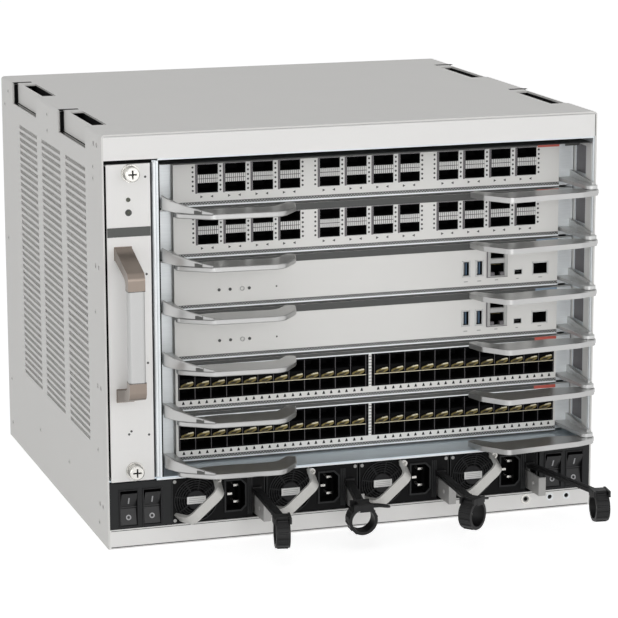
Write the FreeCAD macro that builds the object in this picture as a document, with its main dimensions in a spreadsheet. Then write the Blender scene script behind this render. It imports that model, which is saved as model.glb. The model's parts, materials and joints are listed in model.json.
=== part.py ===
import FreeCAD, Part
import math
import os
import Sketcher

# Modular chassis switch: an eight-unit chassis with a vertical fan tray, six card slots with ejector
# levers, and a row of four power supplies between two switch panels. Millimetres, +Z up, front at -Y.
# The origin is on the floor, under the centre of the chassis.

Vector = FreeCAD.Vector
doc = FreeCAD.newDocument("chassis_switch")
dims = doc.addObject("Spreadsheet::Sheet", "Dims")

SIZES = {
    # Chassis
    "chassis_width": 442.0,
    "chassis_depth": 409.0,
    "chassis_height": 354.3,
    "wall_sheet": 1.5,
    "wrap_bend": 3.0,
    "bezel_sheet": 2.0,
    "bezel_return": 14.0,
    "rail_height": 17.0,
    "rear_clearance": 64.0,
    # Side vents
    "vent_rows": 40.0,
    "vent_pitch": 6.0,
    "vent_gap": 3.4,
    "vent_bottom": 81.0,
    "vent_width": 76.0,
    "vent_column_pitch": 96.0,
    "vent_middle": -10.0,
    # Carrying pockets in the top corners
    "pocket_length": 104.0,
    "pocket_slot_length": 86.0,
    "pocket_step": 5.0,
    "pocket_reach": 19.0,
    "pocket_notch": 19.7,
    "pocket_depth": 21.5,
    "pocket_rear_start": 49.0,
    "pocket_front_start": -146.0,
    # Rack ear holes
    "ear_hole_radius": 2.1,
    "ear_hole_pitch": 11.0,
    "ear_hole_inset": 17.5,
    "ear_row_pitch": 103.5,
    "ear_row_bottom": 33.0,
    # Grounding on the front rail
    "jack_radius": 2.9,
    "jack_offset": 159.0,
    "jack_depth": 9.0,
    "ground_radius": 2.0,
    "ground_offset": 190.0,
    "ground_pitch": 15.88,
    "ground_level": 10.7,
    # Fan bay and tray
    "fan_bay_width": 41.3,
    "fan_face_gap_left": 2.0,
    "fan_face_gap_right": 2.0,
    "fan_face_gap_top": 1.9,
    "fan_face_skirt": 1.6,
    "fan_row_start": 50.5,
    "tray_rear_gap": 5.75,
    "fan_column_count": 3.0,
    "fan_row_count": 3.0,
    "fan_bore_radius": 36.0,
    "fan_hub_radius": 15.0,
    "fan_thickness": 33.0,
    "fan_strut": 3.0,
    # Fan tray handle
    "grip_standoff": 45.0,
    "grip_depth": 9.0,
    "grip_width": 14.5,
    "grip_top": 231.0,
    "grip_bottom": 153.5,
    "grip_root_top": 260.0,
    "grip_root_bottom": 128.0,
    "grip_inset": 15.3,
    "grip_round": 2.5,
    "grip_bend": 7.0,
    # Thumbscrews
    "thumb_radius": 6.2,
    "thumb_length": 9.5,
    "thumb_collar_radius": 7.6,
    "thumb_collar": 2.2,
    "thumb_shank_radius": 2.2,
    "thumb_shank": 9.0,
    "thumb_recess_depth": 2.5,
    "thumb_recess_width": 1.4,
    "thumb_inset": 22.3,
    "thumb_edge": 7.5,
    # Divider post
    "post_width": 5.0,
    "post_depth": 14.0,
    "post_groove": 1.6,
    # Card cage
    "slot_count": 6.0,
    "slot_pitch": 44.45,
    "cage_floor": 60.1,
    "roof_clearance": 4.2,
    "cage_sheet": 1.3,
    "guide_width": 6.0,
    "guide_rise": 0.6,
    "window_front": 16.5,
    "window_depth": 22.0,
    "window_base": 14.5,
    "window_height": 25.0,
    "shelf_sheet": 1.5,
    "shelf_lip": 2.4,
    "shelf_drop": 0.3,
    # Cards
    "card_recess": 36.5,
    "face_sheet": 1.5,
    "face_margin_left": 21.0,
    "face_margin_right": 17.0,
    "card_gap": 0.5,
    "card_side_gap": 0.7,
    "tray_sheet": 1.2,
    "tray_wall": 9.0,
    "flange_setback": 6.0,
    # Ejector levers and their arms
    "arm_base": 5.6,
    "arm_height": 4.6,
    "arm_web": 9.5,
    "arm_web_sheet": 2.4,
    "pivot_reach": 6.0,
    "pivot_boss": 6.0,
    "pin_radius": 2.4,
    "pin_clearance": 0.1,
    "left_pivot_inset": 15.0,
    "right_pivot_inset": 5.0,
    "lever_base": 0.7,
    "lever_thickness": 4.5,
    "lever_length": 106.0,
    "lever_front": 24.0,
    "lever_paddle_depth": 26.0,
    "lever_tip": 21.0,
    # High-rate line cards: paired ports in columns
    "column_count": 4.0,
    "group_count": 3.0,
    "column_width": 17.9,
    "column_pitch": 24.4,
    "group_pitch": 108.9,
    "column_start": 21.4,
    "column_low": 12.7,
    "port_height": 8.5,
    "port_rib_height": 8.0,
    "port_wall": 0.7,
    "port_depth": 24.0,
    # Dense line cards: two halves of small ports
    "small_port_columns": 12.0,
    "small_port_pitch": 14.1,
    "small_port_wall": 1.1,
    "small_port_low": 12.2,
    "small_port_height": 9.3,
    "small_finger_height": 7.8,
    "small_half_gap": 8.0,
    "small_port_start": 3.0,
    # Supervisor cards
    "socket_reach": 352.1,
    "usb_left": 262.1,
    "usb_pitch": 12.5,
    "usb_width": 6.6,
    "usb_low": 14.4,
    "usb_height": 13.6,
    "jack_block_left": 284.7,
    "jack_block_width": 19.8,
    "jack_block_low": 12.2,
    "jack_block_height": 24.9,
    "jack_opening_width": 12.9,
    "jack_opening_low": 13.5,
    "jack_opening_height": 11.1,
    "jack_upper_low": 29.1,
    "jack_upper_height": 6.0,
    "service_left": 310.6,
    "service_width": 8.2,
    "service_low": 12.8,
    "service_height": 5.5,
    "uplink_left": 328.3,
    "uplink_width": 14.4,
    "uplink_low": 12.2,
    "uplink_height": 11.0,
    # Power supplies
    "supply_count": 4.0,
    "supply_pitch": 84.1,
    "supply_width": 82.8,
    "supply_start": 54.5,
    "supply_top_gap": 1.2,
    "supply_floor_gap": 0.3,
    "supply_setback": 1.0,
    "supply_fan_inset": 21.3,
    "supply_fan_radius": 18.6,
    "supply_fan_recess": 9.0,
    "supply_hub_radius": 8.6,
    "supply_vane_count": 14.0,
    "supply_vane": 1.1,
    "inlet_inset": 47.5,
    "inlet_width": 17.5,
    "inlet_low": 7.5,
    "inlet_height": 26.5,
    "inlet_depth": 15.0,
    "inlet_corner": 4.5,
    "inlet_pin": 2.0,
    "inlet_pin_length": 9.0,
    "latch_inset": 71.5,
    "latch_bay_width": 10.5,
    "latch_bay_depth": 14.0,
    "latch_low": 2.0,
    "latch_height": 17.0,
    "latch_sheet": 1.6,
    "latch_flange": 6.6,
    "latch_reach": 25.0,
    "latch_hole_radius": 2.1,
    "latch_knuckle": 2.9,
    "latch_pin_radius": 1.5,
    # Supply handle: a flat bow standing across the fan
    "bow_sheet": 2.6,
    "bow_width": 8.6,
    "bow_reach": 28.0,
    "bow_top_inset": 40.0,
    "bow_top_level": 35.6,
    "bow_low_inset": 5.5,
    "bow_low_level": 5.6,
    "bow_bend": 9.0,
    "bow_rivet_radius": 3.4,
    # Cord retainer: a toothed strap with a clamp ring
    "strap_inset": 75.0,
    "strap_level": 24.2,
    "strap_width": 8.0,
    "strap_sheet": 2.4,
    "clamp_radius": 12.6,
    "clamp_sheet": 2.6,
    "clamp_length": 12.0,
    "clamp_buckle": 7.0,
    "clamp_tail": 15.0,
    "clamp_tail_width": 5.2,
    "clamp_tail_fall": 62.0,
    # Switch panels and rockers
    "switch_panel_depth": 24.0,
    "rocker_width": 13.6,
    "rocker_height": 29.4,
    "rocker_level": 35.0,
    "rocker_pitch": 20.5,
    "rocker_left_start": 16.7,
    "rocker_right_start": 13.0,
    "rocker_gap": 0.5,
    "rocker_depth": 11.0,
    "rocker_proud": 3.0,
    "rocker_pin_radius": 1.4,
    "rocker_frame": 2.0,
    # Shared clearances
    "seat_gap": 0.3,
}


class Size:
    """A number together with the sheet expression that gives it."""

    def __init__(self, value, text=None):
        self.value = float(value)
        self.text = text or repr(self.value)

    def __float__(self):
        return self.value

    def combine(self, other, sign):
        other = as_size(other)
        left, right = self.value, other.value
        results = {"+": lambda: left + right, "-": lambda: left - right,
                   "*": lambda: left * right, "/": lambda: left / right}
        return Size(results[sign](), "(" + self.text + " " + sign + " " + other.text + ")")

    def __add__(self, other):
        return self.combine(other, "+")

    def __radd__(self, other):
        return as_size(other).combine(self, "+")

    def __sub__(self, other):
        return self.combine(other, "-")

    def __rsub__(self, other):
        return as_size(other).combine(self, "-")

    def __mul__(self, other):
        return self.combine(other, "*")

    def __rmul__(self, other):
        return as_size(other).combine(self, "*")

    def __truediv__(self, other):
        return self.combine(other, "/")

    def __neg__(self):
        return as_size(0.0).combine(self, "-")


def as_size(number):
    return number if isinstance(number, Size) else Size(number)


class Sheet:
    """The driving dimensions, read back from the sheet by alias."""

    def __init__(self, sizes):
        for row, (alias, number) in enumerate(sizes.items(), start=1):
            dims.set("A" + str(row), alias)
            dims.set("B" + str(row), str(number))
            dims.setAlias("B" + str(row), alias)
        doc.recompute()

    def __getattr__(self, alias):
        return Size(dims.get(alias), "Dims." + alias)


D = Sheet(SIZES)
nodes = []


def publish(item, label):
    """Give a finished piece the name of its node."""
    item.Label = label
    nodes.append(item)
    return item


# --- Document helpers ------------------------------------------------------------------------------


def bind(item, path, size):
    item.setExpression(path, as_size(size).text)


def box(name, x_span, y_span, z_span):
    item = doc.addObject("Part::Box", name)
    for letter, edge, span in zip("xyz", ("Length", "Width", "Height"), (x_span, y_span, z_span)):
        low, high = (as_size(end) for end in span)
        bind(item, edge, high - low)
        bind(item, "Placement.Base." + letter, low)
    return item


TURNS = {"x": FreeCAD.Rotation(Vector(0, 1, 0), 90), "y": FreeCAD.Rotation(Vector(1, 0, 0), -90),
         "z": FreeCAD.Rotation()}


def cylinder(name, direction, centre, radius, length):
    """A cylinder from its centre point on one end, running along +x, +y or +z."""
    item = doc.addObject("Part::Cylinder", name)
    item.Placement = FreeCAD.Placement(Vector(), TURNS[direction])
    bind(item, "Radius", radius)
    bind(item, "Height", length)
    for letter, size in zip("xyz", centre):
        bind(item, "Placement.Base." + letter, size)
    return item


def fuse(name, pieces):
    item = doc.addObject("Part::MultiFuse", name)
    item.Shapes = pieces
    item.Refine = True
    return item


def cut(name, base, tools):
    item = doc.addObject("Part::Cut", name)
    item.Base = base
    item.Tool = tools[0] if len(tools) == 1 else fuse(name + "_tools", tools)
    item.Refine = True
    return item


def feature(name, shape, place=(0.0, 0.0, 0.0)):
    """A computed shape, placed by sheet values."""
    item = doc.addObject("Part::Feature", name)
    item.Shape = shape
    for letter, size in zip("xyz", place):
        bind(item, "Placement.Base." + letter, size)
    return item


PLANE_SIGN = {"XY_Plane": 1.0, "YZ_Plane": 1.0, "XZ_Plane": -1.0}


def profile(body, name, plane, loops, offset):
    """A sketch of closed loops of straight lines, every corner held by the sheet."""
    sketch = body.newObject("Sketcher::SketchObject", name)
    origin = [item for item in body.Origin.OriginFeatures if item.Role == plane][0]
    sketch.AttachmentSupport = (origin, [""])
    sketch.MapMode = "FlatFace"
    bind(sketch, "AttachmentOffset.Base.z", as_size(offset) * PLANE_SIGN[plane])
    first = 0
    for loop in loops:
        count = len(loop)
        for index in range(count):
            here = Vector(float(loop[index][0]), float(loop[index][1]), 0)
            there = Vector(float(loop[(index + 1) % count][0]), float(loop[(index + 1) % count][1]), 0)
            sketch.addGeometry(Part.LineSegment(here, there))
        for index in range(count):
            following = first + (index + 1) % count
            sketch.addConstraint(Sketcher.Constraint("Coincident", first + index, 2, following, 1))
        for index, corner in enumerate(loop):
            for kind, size in zip(("DistanceX", "DistanceY"), corner):
                number = sketch.addConstraint(
                    Sketcher.Constraint(kind, -1, 1, first + index, 1, float(size)))
                bind(sketch, "Constraints[" + str(number) + "]", size)
        first += count
    return sketch


def rectangle(u_span, v_span):
    return [(u_span[0], v_span[0]), (u_span[1], v_span[0]), (u_span[1], v_span[1]), (u_span[0], v_span[1])]


def pad(body, name, plane, loops, span):
    """Solid between two levels across the plane."""
    start = span[1] if plane == "XZ_Plane" else span[0]
    item = body.newObject("PartDesign::Pad", name)
    item.Profile = profile(body, name + "_sketch", plane, loops, start)
    bind(item, "Length", as_size(span[1]) - span[0])
    doc.recompute()
    return item


def pocket(body, name, plane, loops, span):
    """Cut between two levels across the plane."""
    start = span[0] if plane == "XZ_Plane" else span[1]
    before = body.Shape.Volume
    item = body.newObject("PartDesign::Pocket", name)
    item.Profile = profile(body, name + "_sketch", plane, loops, start)
    bind(item, "Length", as_size(span[1]) - span[0])
    doc.recompute()
    if not body.Shape.Volume < before:
        raise RuntimeError(name + " cuts nothing")
    return item


def round_edges(body, name, radius, chosen):
    """Fillet the edges of a body that the given test picks."""
    base = body.Tip
    names = ["Edge" + str(index) for index, edge in enumerate(base.Shape.Edges, start=1) if chosen(edge)]
    item = body.newObject("PartDesign::Fillet", name)
    item.Base = (base, names)
    bind(item, "Radius", radius)
    body.Tip = item
    doc.recompute()
    return item


def new_body(name):
    return doc.addObject("PartDesign::Body", name)


def rounded_outline(corners):
    """A wire through corners given as (x, y, radius), each rounded by its own arc."""
    points = [Vector(float(x), float(y), 0) for x, y, radius in corners]
    radii = [float(radius) for x, y, radius in corners]
    count = len(points)
    ends = []
    for index, point in enumerate(points):
        before = (points[index - 1] - point).normalize()
        after = (points[(index + 1) % count] - point).normalize()
        angle = before.getAngle(after)
        trim = radii[index] / math.tan(angle / 2)
        bisector = (before + after).normalize()
        centre = point + bisector * (radii[index] / math.sin(angle / 2))
        middle = centre - bisector * radii[index]
        ends.append((point + before * trim, middle, point + after * trim))
    edges = []
    for index, (start, middle, stop) in enumerate(ends):
        if radii[index] > 0:
            edges.append(Part.Arc(start, middle, stop).toShape())
        following = ends[(index + 1) % count][0]
        edges.append(Part.LineSegment(stop, following).toShape())
    return Part.Wire(edges)


def plate(corners, low, high):
    """A flat piece with rounded corners between two levels."""
    face = Part.Face(rounded_outline(corners))
    face.translate(Vector(0, 0, float(low)))
    return face.extrude(Vector(0, 0, float(high) - float(low)))


def block(x_span, y_span, z_span):
    low = Vector(float(x_span[0]), float(y_span[0]), float(z_span[0]))
    high = Vector(float(x_span[1]), float(y_span[1]), float(z_span[1]))
    return Part.makeBox(high.x - low.x, high.y - low.y, high.z - low.z, low)


def ring_points(centre_u, centre_v, radius, count, turn=0.0):
    """Corners of a regular polygon."""
    step = 2 * math.pi / count
    return [(centre_u + radius * math.cos(turn + step * index),
             centre_v + radius * math.sin(turn + step * index))
            for index in range(count)]


# --- Shared levels ---------------------------------------------------------------------------------

half_width = D.chassis_width / 2
front = -D.chassis_depth / 2
rear = D.chassis_depth / 2
inner_left = D.wall_sheet - half_width
inner_right = half_width - D.wall_sheet
fan_bay_right = inner_left + D.fan_bay_width
post_right = fan_bay_right + D.post_width
cage_left = post_right + D.cage_sheet
cage_right = inner_right - D.cage_sheet
cage_top = D.cage_floor + D.slot_pitch * D.slot_count
roof_bottom = cage_top + D.roof_clearance
roof_top = roof_bottom + D.cage_sheet
bezel_bottom = roof_top + D.seat_gap
shelf_top = D.cage_floor - D.shelf_drop
shelf_bottom = shelf_top - D.shelf_sheet
card_front = front + D.card_recess
face_left = cage_left + D.face_margin_left
face_right = cage_right - D.face_margin_right
backplane_front = rear - D.rear_clearance
tray_front = card_front + D.face_sheet


def slot_floor(slot):
    """Lower edge of a slot, counted from 1 at the top."""
    return D.cage_floor + D.slot_pitch * (D.slot_count - slot)


# --- Chassis ---------------------------------------------------------------------------------------


def make_outer_wrap():
    body = new_body("wrap_fold")
    top = D.chassis_height
    sheet = D.wall_sheet
    outline = [(-half_width, 0), (-half_width, top), (half_width, top), (half_width, 0),
               (inner_right, 0), (inner_right, top - sheet), (inner_left, top - sheet), (inner_left, 0)]
    pad(body, "wrap_sheet", "XZ_Plane", [outline], (front, rear))
    round_edges(body, "wrap_bends", D.wrap_bend, is_wrap_corner)

    for start, name in ((D.pocket_front_start, "front"), (D.pocket_rear_start, "rear")):
        notch_y = (start, start + D.pocket_length)
        slot_y = (start, start + D.pocket_slot_length)
        step = half_width - D.pocket_step
        reach = half_width - D.pocket_reach
        notches = [rectangle((-half_width - 1, -step), notch_y), rectangle((step, half_width + 1), notch_y)]
        pocket(body, name + "_notches", "XY_Plane", notches, (top - D.pocket_notch, top))
        slots = [rectangle((-step, -reach), slot_y), rectangle((reach, step), slot_y)]
        pocket(body, name + "_hand_slots", "XY_Plane", slots, (top - sheet, top))

    columns = []
    for offset in (-1, 0, 1):
        middle = D.vent_middle + D.vent_column_pitch * offset
        columns.append(rectangle((middle - D.vent_width / 2, middle + D.vent_width / 2),
                                 (D.vent_bottom, D.vent_bottom + D.vent_gap)))
    slots = pocket(body, "vent_slots", "YZ_Plane", columns, (-half_width - 1, half_width + 1))
    vents = body.newObject("PartDesign::LinearPattern", "vent_columns")
    vents.Originals = [slots]
    vents.Direction = ([item for item in body.Origin.OriginFeatures if item.Role == "Z_Axis"][0], [""])
    bind(vents, "Occurrences", D.vent_rows)
    bind(vents, "Length", D.vent_pitch * (D.vent_rows - 1))
    body.Tip = vents
    doc.recompute()

    holes = []
    for row in range(4):
        for column in (0, 1):
            centre = (-half_width - 1, front + D.ear_hole_inset + D.ear_hole_pitch * column,
                      D.ear_row_bottom + D.ear_row_pitch * row)
            holes.append(cylinder("ear_hole", "x", centre, D.ear_hole_radius, D.chassis_width + 2))
    return cut("outer_wrap_drilled", body, holes)


def is_wrap_corner(edge):
    """The two outer edges that run from front to rear along the top."""
    ends = [vertex.Point for vertex in edge.Vertexes]
    along = abs(ends[0].y - ends[-1].y) > float(D.chassis_depth) / 2
    outer = all(abs(abs(end.x) - float(half_width)) < 0.01 for end in ends)
    upper = all(abs(end.z - float(D.chassis_height)) < 0.01 for end in ends)
    return along and outer and upper


def make_base_pan():
    body = new_body("base_pan_sheet")
    sheet = D.wall_sheet
    rail = D.rail_height
    outline = [(front, 0), (front, rail), (backplane_front, rail), (backplane_front, rail - sheet),
               (front + sheet, rail - sheet), (front + sheet, sheet), (rear, sheet), (rear, 0)]
    pad(body, "base_pan_fold", "YZ_Plane", [outline], (inner_left, inner_right))
    boss = cylinder("jack_boss", "y", (D.jack_offset, front + sheet, D.ground_level),
                    D.jack_radius + sheet, D.jack_depth - sheet)
    pan = fuse("base_pan_with_jack", [body, boss])
    tools = [cylinder("jack_bore", "y", (D.jack_offset, front - 1, D.ground_level), D.jack_radius,
                      D.jack_depth + 2)]
    for side in (-1, 1):
        across = D.ground_offset + D.ground_pitch * side / 2
        tools.append(cylinder("ground_hole", "y", (across, front - 1, D.ground_level), D.ground_radius,
                              sheet + 2))
    return cut("base_pan", pan, tools)


def make_front_bezel():
    body = new_body("front_bezel")
    low = bezel_bottom
    high = D.chassis_height - D.wall_sheet - D.seat_gap
    back = front + D.bezel_return
    sheet = D.bezel_sheet
    outline = [(front, low), (front, high), (back, high), (back, high - sheet), (front + sheet, high - sheet),
               (front + sheet, low + sheet), (back, low + sheet), (back, low)]
    pad(body, "bezel_fold", "YZ_Plane", [outline], (inner_left, inner_right))
    return body


def make_handle_pockets():
    top = D.chassis_height
    sheet = D.wall_sheet
    shells = []
    for start in (D.pocket_front_start, D.pocket_rear_start):
        for side in (-1, 1):
            near = (half_width - D.pocket_step) * side
            far = (half_width - D.pocket_reach) * side
            outer_x = (near, far + sheet * -side)
            inner_x = (near + sheet * -side, far)
            if side < 0:
                lip_x = (near, near + sheet)
            else:
                outer_x = (outer_x[1], outer_x[0])
                inner_x = (inner_x[1], inner_x[0])
                lip_x = (near - sheet, near)
            length_y = (start - sheet, start + D.pocket_length + sheet)
            cavity_y = (start, start + D.pocket_length)
            shell = box("pocket_shell", outer_x, length_y, (top - D.pocket_depth, top - sheet))
            cavity = box("pocket_cavity", inner_x, cavity_y, (top - D.pocket_depth + sheet, top))
            lip = box("pocket_lip", lip_x, (start, start + D.pocket_slot_length), (top - sheet * 2, top))
            shells.append(fuse("pocket_with_lip", [cut("pocket_hollow", shell, [cavity]), lip]))
    return fuse("handle_pockets", shells)


def make_cage_divider():
    body = new_body("cage_divider")
    groove = D.post_groove
    left = fan_bay_right
    right = post_right
    wall_left = left + D.post_width / 2 - D.wall_sheet / 2
    wall_right = wall_left + D.wall_sheet
    back = front + D.post_depth
    outline = [(left, front + groove), (left + groove, front + groove), (left + groove, front + groove / 2),
               (right - groove * 1.2, front + groove / 2), (right - groove * 1.2, front), (right, front),
               (right, back), (wall_right, back), (wall_right, backplane_front), (wall_left, backplane_front),
               (wall_left, back), (left, back)]
    pad(body, "divider_fold", "XY_Plane", [outline], (shelf_top, roof_bottom))
    return body


def make_cage_frame():
    body = new_body("cage_liner")
    left = cage_left - D.cage_sheet
    right = cage_right + D.cage_sheet
    outline = [(left, shelf_top), (left, roof_top), (right, roof_top), (right, shelf_top),
               (cage_right, shelf_top), (cage_right, roof_bottom), (cage_left, roof_bottom),
               (cage_left, shelf_top)]
    pad(body, "liner_fold", "XZ_Plane", [outline], (front + D.post_groove, backplane_front))
    windows = []
    guides = [body]
    window_y = (front + D.window_front, front + D.window_front + D.window_depth)
    for slot in range(1, int(float(D.slot_count)) + 1):
        floor = slot_floor(slot)
        window_z = (floor + D.window_base, floor + D.window_base + D.window_height)
        windows.append(box("claw_window", (left - 1, right + 1), window_y, window_z))
        guide_y = (tray_front + D.flange_setback, backplane_front)
        guide_z = (floor - D.shelf_drop, floor + D.guide_rise)
        guides.append(box("guide_left", (cage_left, cage_left + D.guide_width), guide_y, guide_z))
        guides.append(box("guide_right", (cage_right - D.guide_width, cage_right), guide_y, guide_z))
    return cut("cage_frame", fuse("liner_with_guides", guides), windows)


def make_cage_shelf():
    body = new_body("cage_shelf")
    lip = D.shelf_sheet
    foot = shelf_top - D.shelf_lip
    outline = [(front, shelf_top), (backplane_front, shelf_top), (backplane_front, shelf_bottom),
               (front + lip, shelf_bottom), (front + lip, foot), (front, foot)]
    pad(body, "shelf_fold", "YZ_Plane", [outline], (inner_left, inner_right))
    notch = [rectangle((inner_left - 1, fan_bay_right), (front - 1, front + D.wall_sheet + D.seat_gap * 2))]
    pocket(body, "tray_face_notch", "XY_Plane", notch, (shelf_bottom - D.shelf_lip, shelf_top + 1))
    return body


def make_backplane():
    return box("backplane", (fan_bay_right, cage_right + D.cage_sheet),
               (backplane_front, backplane_front + D.wall_sheet * 2), (D.rail_height, roof_top))


def make_rear_panel():
    return box("rear_panel", (inner_left, inner_right), (rear - D.wall_sheet, rear),
               (D.wall_sheet, D.chassis_height - D.wall_sheet))


# --- Fan tray --------------------------------------------------------------------------------------

tray_left = inner_left + D.fan_face_gap_left
tray_right = fan_bay_right - D.fan_face_gap_right
tray_top = roof_bottom - D.fan_face_gap_top
tray_floor = shelf_top + D.seat_gap
tray_rear = backplane_front - D.tray_rear_gap
fan_start = front + D.fan_row_start
fan_pitch_y = (tray_rear - D.wall_sheet / 2 - fan_start) / D.fan_column_count
fan_pitch_z = (tray_top - tray_floor - D.wall_sheet * 2) / D.fan_row_count
tray_middle = (tray_left + tray_right) / 2
fan_x = (tray_middle - D.fan_thickness / 2, tray_middle + D.fan_thickness / 2)


def make_fan_tray_frame():
    body = new_body("fan_tray_fold")
    sheet = D.wall_sheet
    skirt = tray_floor - D.fan_face_skirt
    outline = [(front, skirt), (front, tray_top), (tray_rear, tray_top), (tray_rear, tray_floor),
               (front + sheet, tray_floor), (front + sheet, skirt)]
    hollow = rectangle((front + sheet, tray_rear - sheet), (tray_floor + sheet, tray_top - sheet))
    pad(body, "tray_sheet", "YZ_Plane", [outline, hollow], (tray_left, tray_right))
    uprights = []
    for edge in range(int(float(D.fan_column_count))):
        middle = fan_start + fan_pitch_y * edge
        uprights.append(box("tray_upright", fan_x, (middle - sheet / 2, middle + sheet / 2),
                            (tray_floor + sheet, tray_top - sheet)))
    frame = fuse("fan_tray_with_uprights", [body] + uprights)
    bores = []
    for level in thumb_levels():
        bores.append(cylinder("thumb_bore", "y", (thumb_x, front - 1, level),
                              D.thumb_shank_radius + D.seat_gap, sheet + 2))
    return cut("fan_tray_frame", frame, bores)


def make_fans():
    """Nine fans; each is a housing with a round throat, a hub on four struts and its blades."""
    fans = []
    length_y = float(fan_pitch_y) - float(D.wall_sheet)
    length_z = float(fan_pitch_z)
    thickness = float(D.fan_thickness)
    strut = float(D.fan_strut)
    bore = float(D.fan_bore_radius)
    hub = float(D.fan_hub_radius)
    throat = Part.makePolygon([Vector(0, y, z) for y, z in ring_points(0, 0, bore, 16) + [(bore, 0)]])
    core = Part.makePolygon([Vector(0, y, z) for y, z in ring_points(0, 0, hub, 10) + [(hub, 0)]])
    housing = block((0, thickness), (-length_y / 2, length_y / 2), (-length_z / 2, length_z / 2))
    housing = housing.cut(Part.Face(throat).extrude(Vector(thickness, 0, 0)))
    motor = Part.Face(core).extrude(Vector(thickness - strut, 0, 0))
    struts = [block((0, strut), (-bore, bore), (-strut / 2, strut / 2)),
              block((0, strut), (-strut / 2, strut / 2), (-bore, bore))]
    blades = []
    for index in range(5):
        blade = block((strut * 2, thickness - strut * 2), (hub - 2, bore - 3), (-0.9, 0.9))
        blade.rotate(Vector(thickness / 2, 0, 0), Vector(0, 1, 0), 38)
        blade.rotate(Vector(), Vector(1, 0, 0), index * 72 + 20)
        blades.append(blade)
    fan = housing.fuse([motor] + struts + blades).removeSplitter()
    for column in range(int(float(D.fan_column_count))):
        for row in range(int(float(D.fan_row_count))):
            copy = fan.copy()
            centre_y = float(fan_start) + float(fan_pitch_y) * (column + 0.5)
            centre_z = float(tray_floor + D.wall_sheet) + length_z * (row + 0.5)
            copy.translate(Vector(float(fan_x[0]), centre_y, centre_z))
            fans.append(copy)
    return feature("fan_tray_fans", Part.makeCompound(fans))


grip_x = (inner_left + D.grip_inset - D.grip_width / 2, inner_left + D.grip_inset + D.grip_width / 2)
grip_front = front - D.grip_standoff
grip_back = grip_front + D.grip_depth


def make_handle_ends():
    """Two sloping arms that carry the grip off the tray's face."""
    ends = []
    levels = ((D.grip_root_top, D.grip_top, 1), (D.grip_root_bottom, D.grip_bottom, -1))
    for number, (root, tip, up) in enumerate(levels, start=1):
        body = new_body("handle_end_" + str(number))
        arm = D.grip_depth * 1.15 * up
        shoulder = tip + D.grip_depth * 1.5 * up
        outline = [(front, root), (front, root - arm), (grip_back, shoulder - arm * 0.55), (grip_back, tip),
                   (grip_front, tip), (grip_front, shoulder)]
        pad(body, "arm_" + str(number), "YZ_Plane", [outline], grip_x)
        round_edges(body, "arm_bend_" + str(number), D.grip_bend, is_arm_bend)
        ends.append(body)
    return fuse("fan_tray_handle_ends", ends)


def is_arm_bend(edge):
    """The edges across an arm where it turns from its slope into the grip."""
    ends = [vertex.Point for vertex in edge.Vertexes]
    across = abs(ends[0].x - ends[-1].x) > float(D.grip_width) / 2
    clear = min(abs(ends[0].z - float(D.grip_top)), abs(ends[0].z - float(D.grip_bottom))) > 1
    return across and clear and ends[0].y < float(front) - 1


def make_grip():
    body = new_body("fan_tray_grip")
    shrink = D.seat_gap / 2
    outline = rectangle((grip_x[0] + shrink, grip_x[1] - shrink), (grip_front + shrink, grip_back - shrink))
    pad(body, "grip_bar", "XY_Plane", [outline], (D.grip_bottom, D.grip_top))
    round_edges(body, "grip_rounding", D.grip_round, lambda edge: edge.BoundBox.ZLength > float(D.grip_depth))
    return body


thumb_x = inner_left + D.thumb_inset


def thumb_levels():
    return (tray_top - D.thumb_edge, tray_floor + D.thumb_edge)


def make_thumbscrew(label, level):
    """A captive screw: knurled head on a collar, with a cross recess and a shank through the face."""
    body = new_body(label)
    head = D.thumb_radius
    collar = D.thumb_collar_radius
    shank = D.thumb_shank_radius
    face = front - D.seat_gap
    stations = [(0, face - D.thumb_length), (head - 0.8, face - D.thumb_length),
                (head, face - D.thumb_length + 0.8), (head, face - D.thumb_collar),
                (collar, face - D.thumb_collar), (collar, face), (shank, face),
                (shank, face + D.thumb_shank), (0, face + D.thumb_shank)]
    spin = body.newObject("PartDesign::Revolution", label + "_turned")
    spin.Profile = profile(body, label + "_section", "XY_Plane", [stations], 0)
    spin.ReferenceAxis = ([item for item in body.Origin.OriginFeatures if item.Role == "Y_Axis"][0], [""])
    spin.Angle = 360
    body.Tip = spin
    doc.recompute()
    width = D.thumb_recess_width / 2
    reach = head * 0.6
    cross = [(-reach, -width), (-width, -width), (-width, -reach), (width, -reach), (width, -width),
             (reach, -width), (reach, width), (width, width), (width, reach), (-width, reach),
             (-width, width), (-reach, width)]
    pocket(body, label + "_recess", "XZ_Plane", [cross],
           (face - D.thumb_length - 1, face - D.thumb_length + D.thumb_recess_depth))
    bind(body, "Placement.Base.x", thumb_x)
    bind(body, "Placement.Base.z", level)
    return body


# --- Cards -----------------------------------------------------------------------------------------


def pivot_x(side):
    """Lever pivots: -1 is the left lever, 1 the right one."""
    if side < 0:
        return cage_left + D.left_pivot_inset
    return cage_right - D.right_pivot_inset


pivot_y = front - D.pivot_reach


def port_pockets(spans, low, height, depth):
    """Blind openings behind the face, one for each span across."""
    return [block(span, (card_front - 1, card_front + depth), (low, low + height)) for span in spans]


def column_spans(base):
    """Port columns of a high-rate line card, left to right."""
    spans = []
    for group in range(int(float(D.group_count))):
        for column in range(int(float(D.column_count))):
            start = base + D.column_start + D.group_pitch * group + D.column_pitch * column
            spans.append((start, start + D.column_width))
    return spans


def half_spans(base):
    """The two halves of a dense line card, as whole cage blocks."""
    length = D.small_port_pitch * D.small_port_columns
    first = base + D.small_port_start
    second = first + length + D.small_half_gap
    return [(first, first + length), (second, second + length)]


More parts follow.
